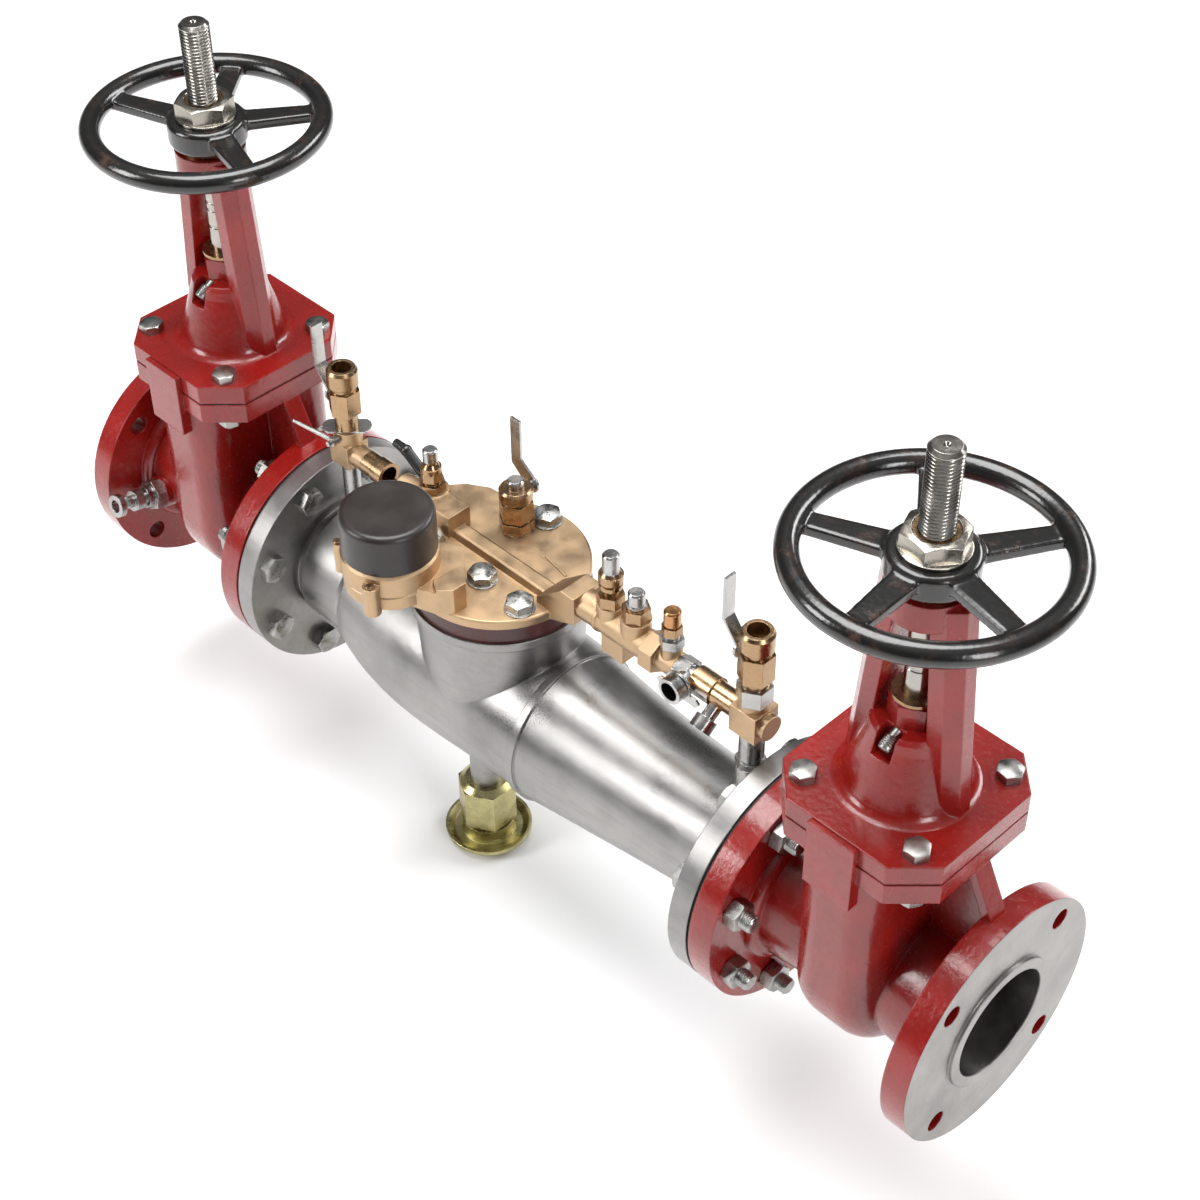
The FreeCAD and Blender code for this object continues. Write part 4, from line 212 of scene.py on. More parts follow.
class DetectorSprings(PropertyGroup):
    check_wire: length("Check wire", "Wire of a check's spring", 0.0022)
    check_turns: IntProperty(name="Check turns", description="Turns of a check's spring", default=5, min=1)
    check_travel: length("Check travel", "How far a check's spring is pressed", 0.016)
    relief_wire: length("Relief wire", "Wire of the relief spring", 0.002)
    relief_turns: IntProperty(name="Relief turns", description="Turns of the relief spring", default=6,
                              min=1)
    relief_travel: length("Relief travel", "How far the relief spring is pressed", 0.005)


class DetectorStage(PropertyGroup):
    azimuth: FloatProperty(name="Azimuth", description="Camera round the object", subtype="ANGLE",
                           default=math.radians(45.42))
    elevation: FloatProperty(name="Elevation", description="Camera above the horizon", subtype="ANGLE",
                             default=math.radians(42.29))
    roll: FloatProperty(name="Roll", description="Turn of the camera about its own line of sight",
                        subtype="ANGLE", default=math.radians(0.34))
    distance: length("Distance", "Camera to the point it looks at", 1.9417)
    lens: FloatProperty(name="Lens", description="Focal length in millimetres", default=68.91, min=1.0)
    target: FloatVectorProperty(name="Target", description="Point that the camera looks at", size=3,
                                unit="LENGTH", default=(0.60589, 0.0, 0.16425))
    key: FloatProperty(name="Key light", description="Power of the overhead softbox", default=96.0,
                       unit="POWER", min=0.0)
    sky: FloatProperty(name="Room light", description="Strength of the room's light", default=0.55,
                       min=0.0)


# Modelling helpers


def deselect():
    """Object mode with nothing selected, so that the next operator acts on its own piece."""
    if bpy.context.object and bpy.context.object.mode != "OBJECT":
        bpy.ops.object.mode_set(mode="OBJECT")
    bpy.ops.object.select_all(action="DESELECT")


def pick(*pieces):
    """Select these pieces; the last is the active one."""
    deselect()
    for piece in pieces:
        piece.select_set(True)
    bpy.context.view_layer.objects.active = pieces[-1]
    return pieces[-1]


def edit(piece, choose="SELECT"):
    pick(piece)
    bpy.ops.object.mode_set(mode="EDIT")
    bpy.ops.mesh.select_all(action=choose)


def choose_faces(piece, wanted):
    """Edit mode with the faces selected whose middle and normal pass the test."""
    edit(piece, "DESELECT")
    bpy.ops.mesh.select_mode(type="FACE")
    bpy.ops.object.mode_set(mode="OBJECT")
    for face in piece.data.polygons:
        face.select = wanted(face.center, face.normal)
    bpy.ops.object.mode_set(mode="EDIT")


def settle(piece):
    """Put the piece's place, turn and scale into its mesh."""
    pick(piece)
    bpy.ops.object.transform_apply(location=True, rotation=True, scale=True)
    return piece


def outward(piece):
    """Weld doubles and turn every face outwards."""
    edit(piece)
    bpy.ops.mesh.remove_doubles(threshold=0.00001)
    bpy.ops.mesh.normals_make_consistent(inside=False)
    bpy.ops.object.mode_set(mode="OBJECT")
    return piece


def lathe(rings, segments=48):
    """Turned solid on the Z axis: a disc extruded and resized from ring to ring (radius, height)."""
    deselect()
    radius, height = rings[0]
    bpy.ops.mesh.primitive_circle_add(vertices=segments, radius=radius, fill_type="NGON",
                                      location=(0, 0, height))
    piece = settle(bpy.context.object)
    edit(piece)
    for next_radius, next_height in rings[1:]:
        bpy.ops.mesh.extrude_region_move(TRANSFORM_OT_translate={"value": (0, 0, next_height - height)})
        scale = next_radius / radius
        bpy.ops.transform.resize(value=(scale, scale, 1), center_override=(0, 0, next_height))
        radius, height = next_radius, next_height
    return outward(piece)


def modify(piece, kind, **settings):
    """Add a modifier with these settings and apply it."""
    pick(piece)
    bpy.ops.object.modifier_add(type=kind)
    modifier = piece.modifiers[-1]
    for name, value in settings.items():
        setattr(modifier, name, value)
    bpy.ops.object.modifier_apply(modifier=modifier.name)


def combine(piece, tool, operation):
    """Cut with, or keep only what lies in, another solid, which is used up."""
    modify(piece, "BOOLEAN", operation=operation, solver="EXACT", object=tool)
    bpy.data.objects.remove(tool)
    return piece


def hexagon(flats, low, high, chamfer_low=True, chamfer_high=True):
    """Hex bar between two heights, its corners turned down at the ends as on a real nut."""
    deselect()
    bpy.ops.mesh.primitive_cylinder_add(vertices=6, radius=flats / math.sqrt(3), depth=high - low,
                                        location=(0, 0, (low + high) / 2))
    piece = settle(bpy.context.object)
    face = flats * 0.475
    corner = flats / math.sqrt(3) * 1.03
    drop = (corner - face) * math.tan(math.radians(30))
    rings = [(face, low), (corner, low + drop)] if chamfer_low else [(corner, low - 0.001)]
    rings += [(corner, high - drop), (face, high)] if chamfer_high else [(corner, high + 0.001)]
    return combine(piece, lathe(rings), "INTERSECT")


def wind(piece, sides, rise, angle, steps, rounds=1):
    """Wind a section with so many sides up the Z axis and close its ends."""
    modify(piece, "SCREW", axis="Z", angle=angle, screw_offset=rise, iterations=rounds, steps=steps,
           render_steps=steps)
    edit(piece)
    bpy.ops.mesh.fill_holes(sides=sides)
    bpy.ops.object.mode_set(mode="OBJECT")
    return outward(piece)


def thread_ridge(root, crest, pitch, lead, low, turns, steps, start_angle=0.0):
    """One start of a thread: a diamond section wound up the axis, sunk into the core by half."""
    deselect()
    bpy.ops.mesh.primitive_circle_add(vertices=4, radius=1, fill_type="NOTHING",
                                      rotation=(math.pi / 2, 0, 0))
    piece = settle(bpy.context.object)
    edit(piece)
    bpy.ops.transform.resize(value=(crest - root, 1, pitch * 0.46))
    bpy.ops.transform.translate(value=(root, 0, low))
    bpy.ops.object.mode_set(mode="OBJECT")
    wind(piece, 4, lead, math.tau, steps, turns)
    piece.rotation_euler = (0, 0, start_angle)
    return settle(piece)


def coil(radius, wire, long, turns):
    """Spring of round wire wound up the Z axis from zero."""
    deselect()
    bpy.ops.mesh.primitive_circle_add(vertices=12, radius=wire / 2, fill_type="NOTHING",
                                      rotation=(math.pi / 2, 0, 0), location=(radius, 0, wire / 2))
    piece = settle(bpy.context.object)
    return wind(piece, 12, long - wire, math.tau * turns, 28 * turns)


def join(*pieces):
    pick(*reversed(pieces))
    if len(pieces) > 1:
        bpy.ops.object.join()
    return bpy.context.object


def copies(master, places):
    """A copy of the master, with its own mesh, at each place (location, rotation); all in one piece."""
    made = []
    for location, turn in places:
        pick(master)
        bpy.ops.object.duplicate()
        copy = bpy.context.object
        copy.location = location
        copy.rotation_euler = turn
        made.append(settle(copy))
    bpy.data.objects.remove(master)
    return join(*made)


def smooth(piece, degrees=32.0):
    pick(piece)
    bpy.ops.object.shade_smooth_by_angle(angle=math.radians(degrees))
    return piece


def present(piece, name, body, slot, material, *replaced):
    """Name, finish and body of a new piece, and the CAD nodes that it stands for."""
    piece.name = name
    piece.data.name = name
    piece.data.materials.clear()
    piece.data.materials.append(material)
    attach(piece, body)
    if replaced:
        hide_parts(*replaced)
    deselect()
    return piece


# Shader helpers


def new_group(name, inputs, outputs):
    """Shader group with named sockets. inputs: (name, type, default); outputs: (name, type)."""
    group = bpy.data.node_groups.new(name, "ShaderNodeTree")
    for label, kind, default in inputs:
        group.interface.new_socket(name=label, in_out="INPUT", socket_type=kind).default_value = default
    for label, kind in outputs:
        group.interface.new_socket(name=label, in_out="OUTPUT", socket_type=kind)
    return group, group.nodes.new("NodeGroupInput"), group.nodes.new("NodeGroupOutput")


def feed(tree, socket, source):
    """Link a socket, or set it to a number or colour."""
    if isinstance(source, bpy.types.NodeSocket):
        tree.links.new(source, socket)
    elif hasattr(source, "__len__") and len(source) == 3 and socket.type == "RGBA":
        socket.default_value = (*source, 1.0)
    else:
        socket.default_value = source


def maths(tree, operation, *values):
    node = tree.nodes.new("ShaderNodeMath")
    node.operation = operation
    for socket, value in zip(node.inputs, values):
        feed(tree, socket, value)
    return node.outputs[0]


def spread(tree, value, low, high, to_low=0.0, to_high=1.0):
    """Stretch a value from one range to another and clamp it."""
    node = tree.nodes.new("ShaderNodeMapRange")
    for label, number in (("Value", value), ("From Min", low), ("From Max", high),
                          ("To Min", to_low), ("To Max", to_high)):
        feed(tree, node.inputs[label], number)
    return node.outputs[0]


def blend_colours(tree, share, first, second):
    node = tree.nodes.new("ShaderNodeMix")
    node.data_type = "RGBA"
    feed(tree, node.inputs[0], share)
    feed(tree, node.inputs[6], first)
    feed(tree, node.inputs[7], second)
    return node.outputs[2]


def coordinates(tree, kind="Object"):
    """Texture coordinates, whole and split into X, Y and Z."""
    place = tree.nodes.new("ShaderNodeTexCoord").outputs[kind]
    split = tree.nodes.new("ShaderNodeSeparateXYZ")
    tree.links.new(place, split.inputs[0])
    return place, split.outputs


def noise(tree, place, scale, detail=3.0, roughness=0.55):
    node = tree.nodes.new("ShaderNodeTexNoise")
    tree.links.new(place, node.inputs["Vector"])
    for label, value in (("Scale", scale), ("Detail", detail), ("Roughness", roughness)):
        feed(tree, node.inputs[label], value)
    return node.outputs[0]


def surface_relief_group():
    """Skin that all finishes share: eased edges, a grain, broad blotches and a mask of the edges."""
    group, given, result = new_group(
        "Surface relief",
        [("Edge Radius", "NodeSocketFloat", 0.0006), ("Grain Scale", "NodeSocketFloat", 600.0),
         ("Grain Height", "NodeSocketFloat", 0.0001), ("Blotch Scale", "NodeSocketFloat", 25.0)],
        [("Normal", "NodeSocketVector"), ("Grain", "NodeSocketFloat"), ("Blotch", "NodeSocketFloat"),
         ("Edge", "NodeSocketFloat")])
    place, _ = coordinates(group)
    grain = noise(group, place, given.outputs["Grain Scale"], 4.0)
    blotch = noise(group, place, given.outputs["Blotch Scale"], 5.0, 0.6)
    eased = group.nodes.new("ShaderNodeBevel")
    eased.samples = 6
    feed(group, eased.inputs["Radius"], given.outputs["Edge Radius"])
    bump = group.nodes.new("ShaderNodeBump")
    bump.inputs["Strength"].default_value = 1.0
    feed(group, bump.inputs["Distance"], given.outputs["Grain Height"])
    feed(group, bump.inputs["Height"], grain)
    feed(group, bump.inputs["Normal"], eased.outputs[0])
    plain = group.nodes.new("ShaderNodeNewGeometry").outputs["Normal"]
    meet = group.nodes.new("ShaderNodeVectorMath")
    meet.operation = "DOT_PRODUCT"
    feed(group, meet.inputs[0], eased.outputs[0])
    feed(group, meet.inputs[1], plain)
    edge = spread(group, meet.outputs["Value"], 0.995, 0.86)
    for label, source in (("Normal", bump.outputs[0]), ("Grain", grain),
                          ("Blotch", spread(group, blotch, 0.36, 0.64)), ("Edge", edge)):
        feed(group, result.inputs[label], source)
    return group


class Finish:
    """A material, its node tree and shader, and the shared relief already on its normal."""

    def __init__(self, name, edge=0.0006, grain=600.0, height=0.0001, blotch=25.0):
        self.material = bpy.data.materials.new(name)
        self.material.use_nodes = True
        self.tree = self.material.node_tree
        self.shader = self.tree.nodes["Principled BSDF"]
        relief = self.tree.nodes.new("ShaderNodeGroup")
        relief.node_tree = bpy.data.node_groups.get("Surface relief") or surface_relief_group()
        for label, value in (("Edge Radius", edge), ("Grain Scale", grain), ("Grain Height", height),
                             ("Blotch Scale", blotch)):
            relief.inputs[label].default_value = value
        self.grain = relief.outputs["Grain"]
        self.blotch = relief.outputs["Blotch"]
        self.edge = relief.outputs["Edge"]
        self.place, self.axes = coordinates(self.tree)
        self.set("Normal", relief.outputs["Normal"])

    def set(self, label, source):
        feed(self.tree, self.shader.inputs[label], source)

    def mix(self, share, first, second):
        return blend_colours(self.tree, share, first, second)

    def blotched(self, shade, dark):
        """A colour that is darker in the blotches."""
        return self.mix(self.blotch, tint(shade, dark), tuple(shade))

    def base(self):
        """What the base colour is so far."""
        return self.shader.inputs["Base Color"].links[0].from_socket

    def rough(self, low, high):
        """Roughness that follows the grain and the blotches."""
        both = maths(self.tree, "ADD", self.grain, self.blotch)
        self.set("Roughness", spread(self.tree, both, 0.5, 1.5, low, high))

    def within(self, axis, low, high):
        """1 between two places along an axis, 0 outside."""
        value = self.axes[axis]
        above = maths(self.tree, "GREATER_THAN", value, low)
        below = maths(self.tree, "LESS_THAN", value, high)
        return maths(self.tree, "MULTIPLY", above, below)

    def near_axis(self, first, second, centre, radius):
        """1 inside a radius of a line along the third axis."""
        one = maths(self.tree, "SUBTRACT", self.axes[first], centre[0])
        two = maths(self.tree, "SUBTRACT", self.axes[second], centre[1])
        square = maths(self.tree, "ADD", maths(self.tree, "MULTIPLY", one, one),
                       maths(self.tree, "MULTIPLY", two, two))
        return maths(self.tree, "LESS_THAN", square, radius * radius)


def tint(value, factor):
    return tuple(min(1.0, channel * factor) for channel in value)


def red_paint(colours):
    """Thick gloss paint over a sand casting, with bare turned flange faces and bores."""
    finish = Finish("Red valve paint", edge=0.0022, grain=210.0, height=0.00032, blotch=22.0)
    tree = finish.tree
    low, high = CAD_LOW.x + 0.0032, CAD_HIGH.x - 0.0032
    faces = maths(tree, "MAXIMUM", maths(tree, "LESS_THAN", finish.axes[0], low),
                  maths(tree, "GREATER_THAN", finish.axes[0], high))
    bare = maths(tree, "MAXIMUM", faces, finish.near_axis(1, 2, (0.0, 0.0), 0.0512))
    paint = finish.blotched(colours.red, 0.78)
    paint = finish.mix(maths(tree, "MULTIPLY", finish.edge, 0.35), paint, tint(colours.red, 1.5))
    steel = finish.blotched(colours.machined, 0.62)
    finish.set("Base Color", finish.mix(bare, paint, steel))
    finish.set("Metallic", bare)
    gloss = spread(tree, finish.grain, 0.3, 0.7, 0.16, 0.30)
    satin = spread(tree, finish.blotch, 0.0, 1.0, 0.30, 0.44)
    painted = maths(tree, "SUBTRACT", 1.0, bare)
    finish.set("Roughness", maths(tree, "ADD", maths(tree, "MULTIPLY", gloss, painted),
                                  maths(tree, "MULTIPLY", satin, bare)))
    finish.set("Coat Weight", spread(tree, bare, 0.0, 1.0, 0.32, 0.0))
    finish.set("Coat Roughness", 0.07)
    return finish.material


def metal(name, base, rough=(0.25, 0.4), dark=0.7, bright_edge=1.25, **relief):
    """Bare metal: blotched tone, brighter worn edges, roughness that wanders."""
    finish = Finish(name, **relief)
    tone = finish.blotched(base, dark)
    tone = finish.mix(maths(finish.tree, "MULTIPLY", finish.edge, 0.7), tone, tint(base, bright_edge))
    finish.set("Base Color", tone)
    finish.set("Metallic", 1.0)
    finish.rough(*rough)
    return finish


def stainless(colours):
    """Cast stainless, blasted to a satin skin with soft darker clouds and long handling marks."""
    finish = Finish("Blasted stainless", edge=0.0015, grain=1500.0, height=0.00009, blotch=9.0)
    tree = finish.tree
    stretch = tree.nodes.new("ShaderNodeMapping")
    stretch.inputs["Scale"].default_value = (6.0, 60.0, 60.0)
    tree.links.new(finish.place, stretch.inputs["Vector"])
    drawn = noise(tree, stretch.outputs[0], 3.0, 4.0)
    tone = finish.blotched(colours.stainless, 0.66)
    tone = finish.mix(spread(tree, drawn, 0.5, 0.75, 0.0, 0.35), tone, tint(colours.stainless, 0.55))
    finish.set("Base Color", tone)
    finish.set("Metallic", 1.0)
    finish.rough(0.27, 0.42)
    return finish.material


def cast_bronze(colours):
    """Sand-cast bronze, dull and slightly pink, brighter where it has been rubbed."""
    return metal("Cast bronze", colours.bronze, rough=(0.34, 0.55), dark=0.78, bright_edge=1.3,
                 edge=0.0011, grain=900.0, height=0.00018, blotch=35.0).material


def zoned_brass(name, colours, *zones):
    """Turned brass with zones of another metal: (low, high, colour) in height."""
    finish = metal(name, colours.brass, rough=(0.17, 0.33), dark=0.8, bright_edge=1.3,
                   edge=0.0005, grain=1400.0, height=0.00004, blotch=60.0)
    if zones:
        tone = finish.base()
        for low, high, shade in zones:
            tone = finish.mix(finish.within(2, low, high), tone, finish.blotched(shade, 0.78))
        finish.set("Base Color", tone)
    return finish.material


def drain_metal(colours):
    """Plated drain ports whose mouths are painted near black as painted shade of the opening, and a brass
    union towards the tee.
    """
    finish = metal("Drain port plating", colours.nickel, rough=(0.14, 0.3), dark=0.7,
                   edge=0.0005, grain=1200.0, height=0.00004, blotch=50.0)
    tone = finish.base()
    front = finish.within(1, -1.0, -0.0125)
    union = maths(finish.tree, "SUBTRACT", finish.within(0, 0.7195, 0.79), front)
    tone = finish.mix(maths(finish.tree, "MAXIMUM", union, 0.0), tone, tint(colours.brass, 1.05))
    # painted shade: a near-black, non-metallic disc over the front of the port's mouth stands for the dark
    # inside of the opening
    painted_port_shade = maths(finish.tree, "MULTIPLY", finish.near_axis(0, 2, (0.714, 0.150), 0.0087), front)
    finish.set("Base Color", finish.mix(painted_port_shade, tone, (0.006, 0.006, 0.006)))
    finish.set("Metallic", maths(finish.tree, "SUBTRACT", 1.0, painted_port_shade))
    return finish.material


def black_enamel(colours):
    """Dipped black enamel on the cast wheels, thin and brown along some of the rim."""
    finish = Finish("Black wheel enamel", edge=0.0012, grain=260.0, height=0.00022, blotch=14.0)
    tree = finish.tree
    thin = noise(tree, finish.place, 42.0, 6.0, 0.7)
    thin = maths(tree, "MULTIPLY", spread(tree, thin, 0.52, 0.70), finish.blotch)
    finish.set("Base Color", finish.mix(thin, tuple(colours.enamel), tuple(colours.worn)))
    finish.set("Roughness", spread(tree, thin, 0.0, 1.0, 0.20, 0.46))
    finish.set("Coat Weight", spread(tree, thin, 0.0, 1.0, 0.5, 0.1))
    finish.set("Coat Roughness", 0.09)
    return finish.material


def dull_skin(name, base, rough, coat=0.0, **relief):
    """Plastic, rubber or flat paint: one tone with faint clouds."""
    finish = Finish(name, **relief)
    finish.set("Base Color", finish.mix(finish.blotch, tint(base, 0.72), tint(base, 1.12)))
    finish.rough(*rough)
    finish.set("Coat Weight", coat)
    return finish


def dial_face(colours):
    """Register under the cap: black housing, pale dial with a ring of plain tick marks."""
    finish = dull_skin("Register dial", colours.cap, (0.35, 0.5), edge=0.0004, grain=900.0,
                       height=0.00003, blotch=40.0)
    tree = finish.tree
    centre = middle("meter_register")
    face_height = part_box("meter_register")[1].z - 0.0025
    across = maths(tree, "SUBTRACT", finish.axes[0], centre.x)
    along = maths(tree, "SUBTRACT", finish.axes[1], centre.y)
    angle = maths(tree, "ARCTAN2", along, across)
    ticks = maths(tree, "FRACT", maths(tree, "MULTIPLY", angle, 50 / math.tau))
    ticks = maths(tree, "LESS_THAN", ticks, 0.22)
    ring = maths(tree, "SUBTRACT", finish.near_axis(0, 1, (centre.x, centre.y), 0.0265),
                 finish.near_axis(0, 1, (centre.x, centre.y), 0.0225))
    face = maths(tree, "MULTIPLY", finish.near_axis(0, 1, (centre.x, centre.y), 0.029),
                 finish.within(2, face_height - 0.001, face_height + 0.001))
    base = finish.base()
    marked = finish.mix(maths(tree, "MULTIPLY", ticks, ring), tuple(colours.dial), (0.02, 0.02, 0.02))
    finish.set("Base Color", finish.mix(face, base, marked))
    return finish.material


def paint_nodes(material, *nodes):
    for node in nodes:
        solid = frame["nodes"][node]
        solid.data.materials.clear()
        solid.data.materials.append(material)


# Operators: one for each piece or group of like pieces


class Step:
    """Base of the operators: its build gets the scene and the scene's colours."""

    def execute(self, context):
        self.build(context.scene, context.scene.detector_colours)
        return {"FINISHED"}


class DETECTOR_OT_paint_valves(Step, Operator):
    """Give both gate valves their red paint and bare faces"""

    bl_idname = "detector.paint_valves"
    bl_label = "Paint Gate Valves"

    def build(self, scene, colours):
        paint_nodes(red_paint(colours), "inlet_valve_body", "outlet_valve_body", "inlet_bonnet",
                    "outlet_bonnet")
        nuts = Finish("Red nut paint", edge=0.0009, grain=420.0, height=0.0002, blotch=40.0)
        nuts.set("Base Color", nuts.blotched(colours.red, 0.72))
        nuts.rough(0.24, 0.4)
        nuts.set("Coat Weight", 0.4)
        paint_nodes(nuts.material, "gland_nuts")
        rubber = dull_skin("Gasket rubber", (0.03, 0.028, 0.027), (0.6, 0.8), grain=700.0, height=0.0001)
        paint_nodes(rubber.material, "bonnet_gaskets", "joint_gaskets")
        trim = metal("Gland brass", tint(colours.brass, 0.95), rough=(0.2, 0.36), dark=0.72,
                     edge=0.0005, grain=900.0, height=0.00005, blotch=70.0)
        paint_nodes(trim.material, "gland_rings", "inlet_yoke_nut", "outlet_yoke_nut")
        cast = metal("Wedge casting", colours.stainless, rough=(0.35, 0.5), edge=0.001, grain=700.0,
                     height=0.00012)
        paint_nodes(cast.material, "inlet_wedge", "outlet_wedge")


class DETECTOR_OT_finish_check_body(Step, Operator):
    """Give the check body, its cover and the inner pieces their metals"""

    bl_idname = "detector.finish_check_body"
    bl_label = "Finish Check Body"

    def build(self, scene, colours):
        paint_nodes(stainless(colours), "check_body")
        paint_nodes(cast_bronze(colours), "cover", "meter_body", "manifold", "inlet_tee", "outlet_tee")
        ring = dull_skin("Ring paint", colours.ring, (0.32, 0.5), coat=0.2, edge=0.0008, grain=500.0,
                         height=0.00018, blotch=50.0)
        paint_nodes(ring.material, "cover_ring")
        inner = metal("Inner stainless", colours.stainless, rough=(0.2, 0.35), grain=900.0,
                      height=0.00004)
        paint_nodes(inner.material, "first_check_seat", "second_check_seat", "first_check_disc",
                    "second_check_disc", "relief_poppet")
        zinc = metal("Yellow zinc plating", colours.zinc, rough=(0.22, 0.4), dark=0.6, bright_edge=1.35,
                     edge=0.0009, grain=700.0, height=0.00008, blotch=38.0)
        paint_nodes(zinc.material, "relief_body", "relief_dish")


class DETECTOR_OT_finish_bypass(Step, Operator):
    """Give the bypass line's fittings, cocks and levers their brass and plating"""

    bl_idname = "detector.finish_bypass"
    bl_label = "Finish Bypass Line"

    def build(self, scene, colours):
        bright = tuple(colours.nickel)
        paint_nodes(zoned_brass("Turned brass", colours), "bypass_sleeve", "inlet_shutoff")
        nickel = metal("Bright plating", colours.nickel, rough=(0.20, 0.32), dark=0.82, edge=0.0005,
                       grain=1000.0, height=0.00003, blotch=45.0)
        paint_nodes(nickel.material, "inlet_shutoff_lever", "outlet_shutoff_lever",
                    "cover_shutoff_lever", "rod_lever", "wing_plate", "wing_handle")
        steel = metal("Threaded steel", tint(colours.nickel, 0.88), rough=(0.2, 0.36), dark=0.68,
                      edge=0.0006, grain=900.0, height=0.00007, blotch=55.0)
        paint_nodes(steel.material, "inlet_riser", "outlet_riser", "inlet_test_cock")
        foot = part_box("outlet_shutoff")[0].z
        hexagon_zone = (foot - 0.001, foot + 0.0172, bright)
        paint_nodes(zoned_brass("Outlet shutoff brass", colours, hexagon_zone), "outlet_shutoff")
        for node, drop in (("front_test_cock", 0.0128), ("cover_shutoff", 0.0083),
                           ("first_manifold_cock", 0.0187), ("second_manifold_cock", 0.0137)):
            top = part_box(node)[1].z
            paint_nodes(zoned_brass(node.replace("_", " ").capitalize(), colours,
                                    (top - drop, top + 0.001, bright)), node)
        low, top = (corner.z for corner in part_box("third_manifold_cock"))
        tip = (top - 0.0148, top + 0.001, tuple(colours.copper))
        foot_zone = (low - 0.001, low + 0.0132, bright)
        paint_nodes(zoned_brass("Copper tipped cock", colours, tip, foot_zone), "third_manifold_cock")
        paint_nodes(drain_metal(colours), "drain_valve")
        grip = dull_skin("Black lever grip", (0.012, 0.012, 0.012), (0.2, 0.34), coat=0.3, edge=0.0008,
                         grain=700.0, height=0.00006)
        paint_nodes(grip.material, "black_lever")


class DETECTOR_OT_finish_meter(Step, Operator):
    """Give the meter's cap and register their plastic and dial"""

    bl_idname = "detector.finish_meter"
    bl_label = "Finish Meter"

    def build(self, scene, colours):
        cap = dull_skin("Meter cap plastic", colours.cap, (0.30, 0.42), edge=0.0012, grain=1300.0,
                        height=0.00005, blotch=18.0)
        paint_nodes(cap.material, "meter_cap")
        paint_nodes(dial_face(colours), "meter_register")


class DETECTOR_OT_stems(Step, Operator):
    """Model the two stems with their two-start threads"""

    bl_idname = "detector.stems"
    bl_label = "Model Stems"

    def build(self, scene, colours):
        sizes = scene.detector_threads
        shade = metal("Polished stem", (0.45, 0.425, 0.39), rough=(0.13, 0.28), dark=0.75,
                      edge=0.0004, grain=500.0, height=0.00003, blotch=60.0).material
        smooth_radius = sizes.stem_smooth
        neck = smooth_radius - sizes.groove
        gland_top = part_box("gland_nuts")[1].z
        for side, valve in VALVES.items():
            rings = [(smooth_radius, STEM_FOOT)]
            for height in STEM_GROOVES:
                low = gland_top + height
                rings += [(smooth_radius, low), (neck, low + 0.0008), (neck, low + 0.0022),
                          (smooth_radius, low + 0.003)]
            rings += [(smooth_radius, sizes.stem_step), (sizes.stem_root, sizes.stem_step + 0.002),
                      (sizes.stem_root, STEM_TOP - 0.0045), (sizes.stem_crest, STEM_TOP - 0.0035),
                      (sizes.stem_crest, STEM_TOP - 0.0028), (sizes.stem_crest - 0.0028, STEM_TOP),
                      (0.0030, STEM_TOP), (0.0012, STEM_TOP - 0.0028)]
            parts = [lathe(rings, 56)]
            low = sizes.stem_step + 0.0035
            turns = int((STEM_TOP - 0.0035 - low) / sizes.stem_lead)
            for start in range(sizes.starts):
                pitch = sizes.stem_lead / sizes.starts
                parts.append(thread_ridge(sizes.stem_root, sizes.stem_crest, pitch, sizes.stem_lead,
                                          low, turns, 30, math.tau * start / sizes.starts))
            stem = join(*parts)
            stem.location = (valve["axis"], 0, 0)
            smooth(settle(stem), 38)
            present(stem, side + "_threaded_stem", side + "_gate", "stainless", shade, side + "_stem")


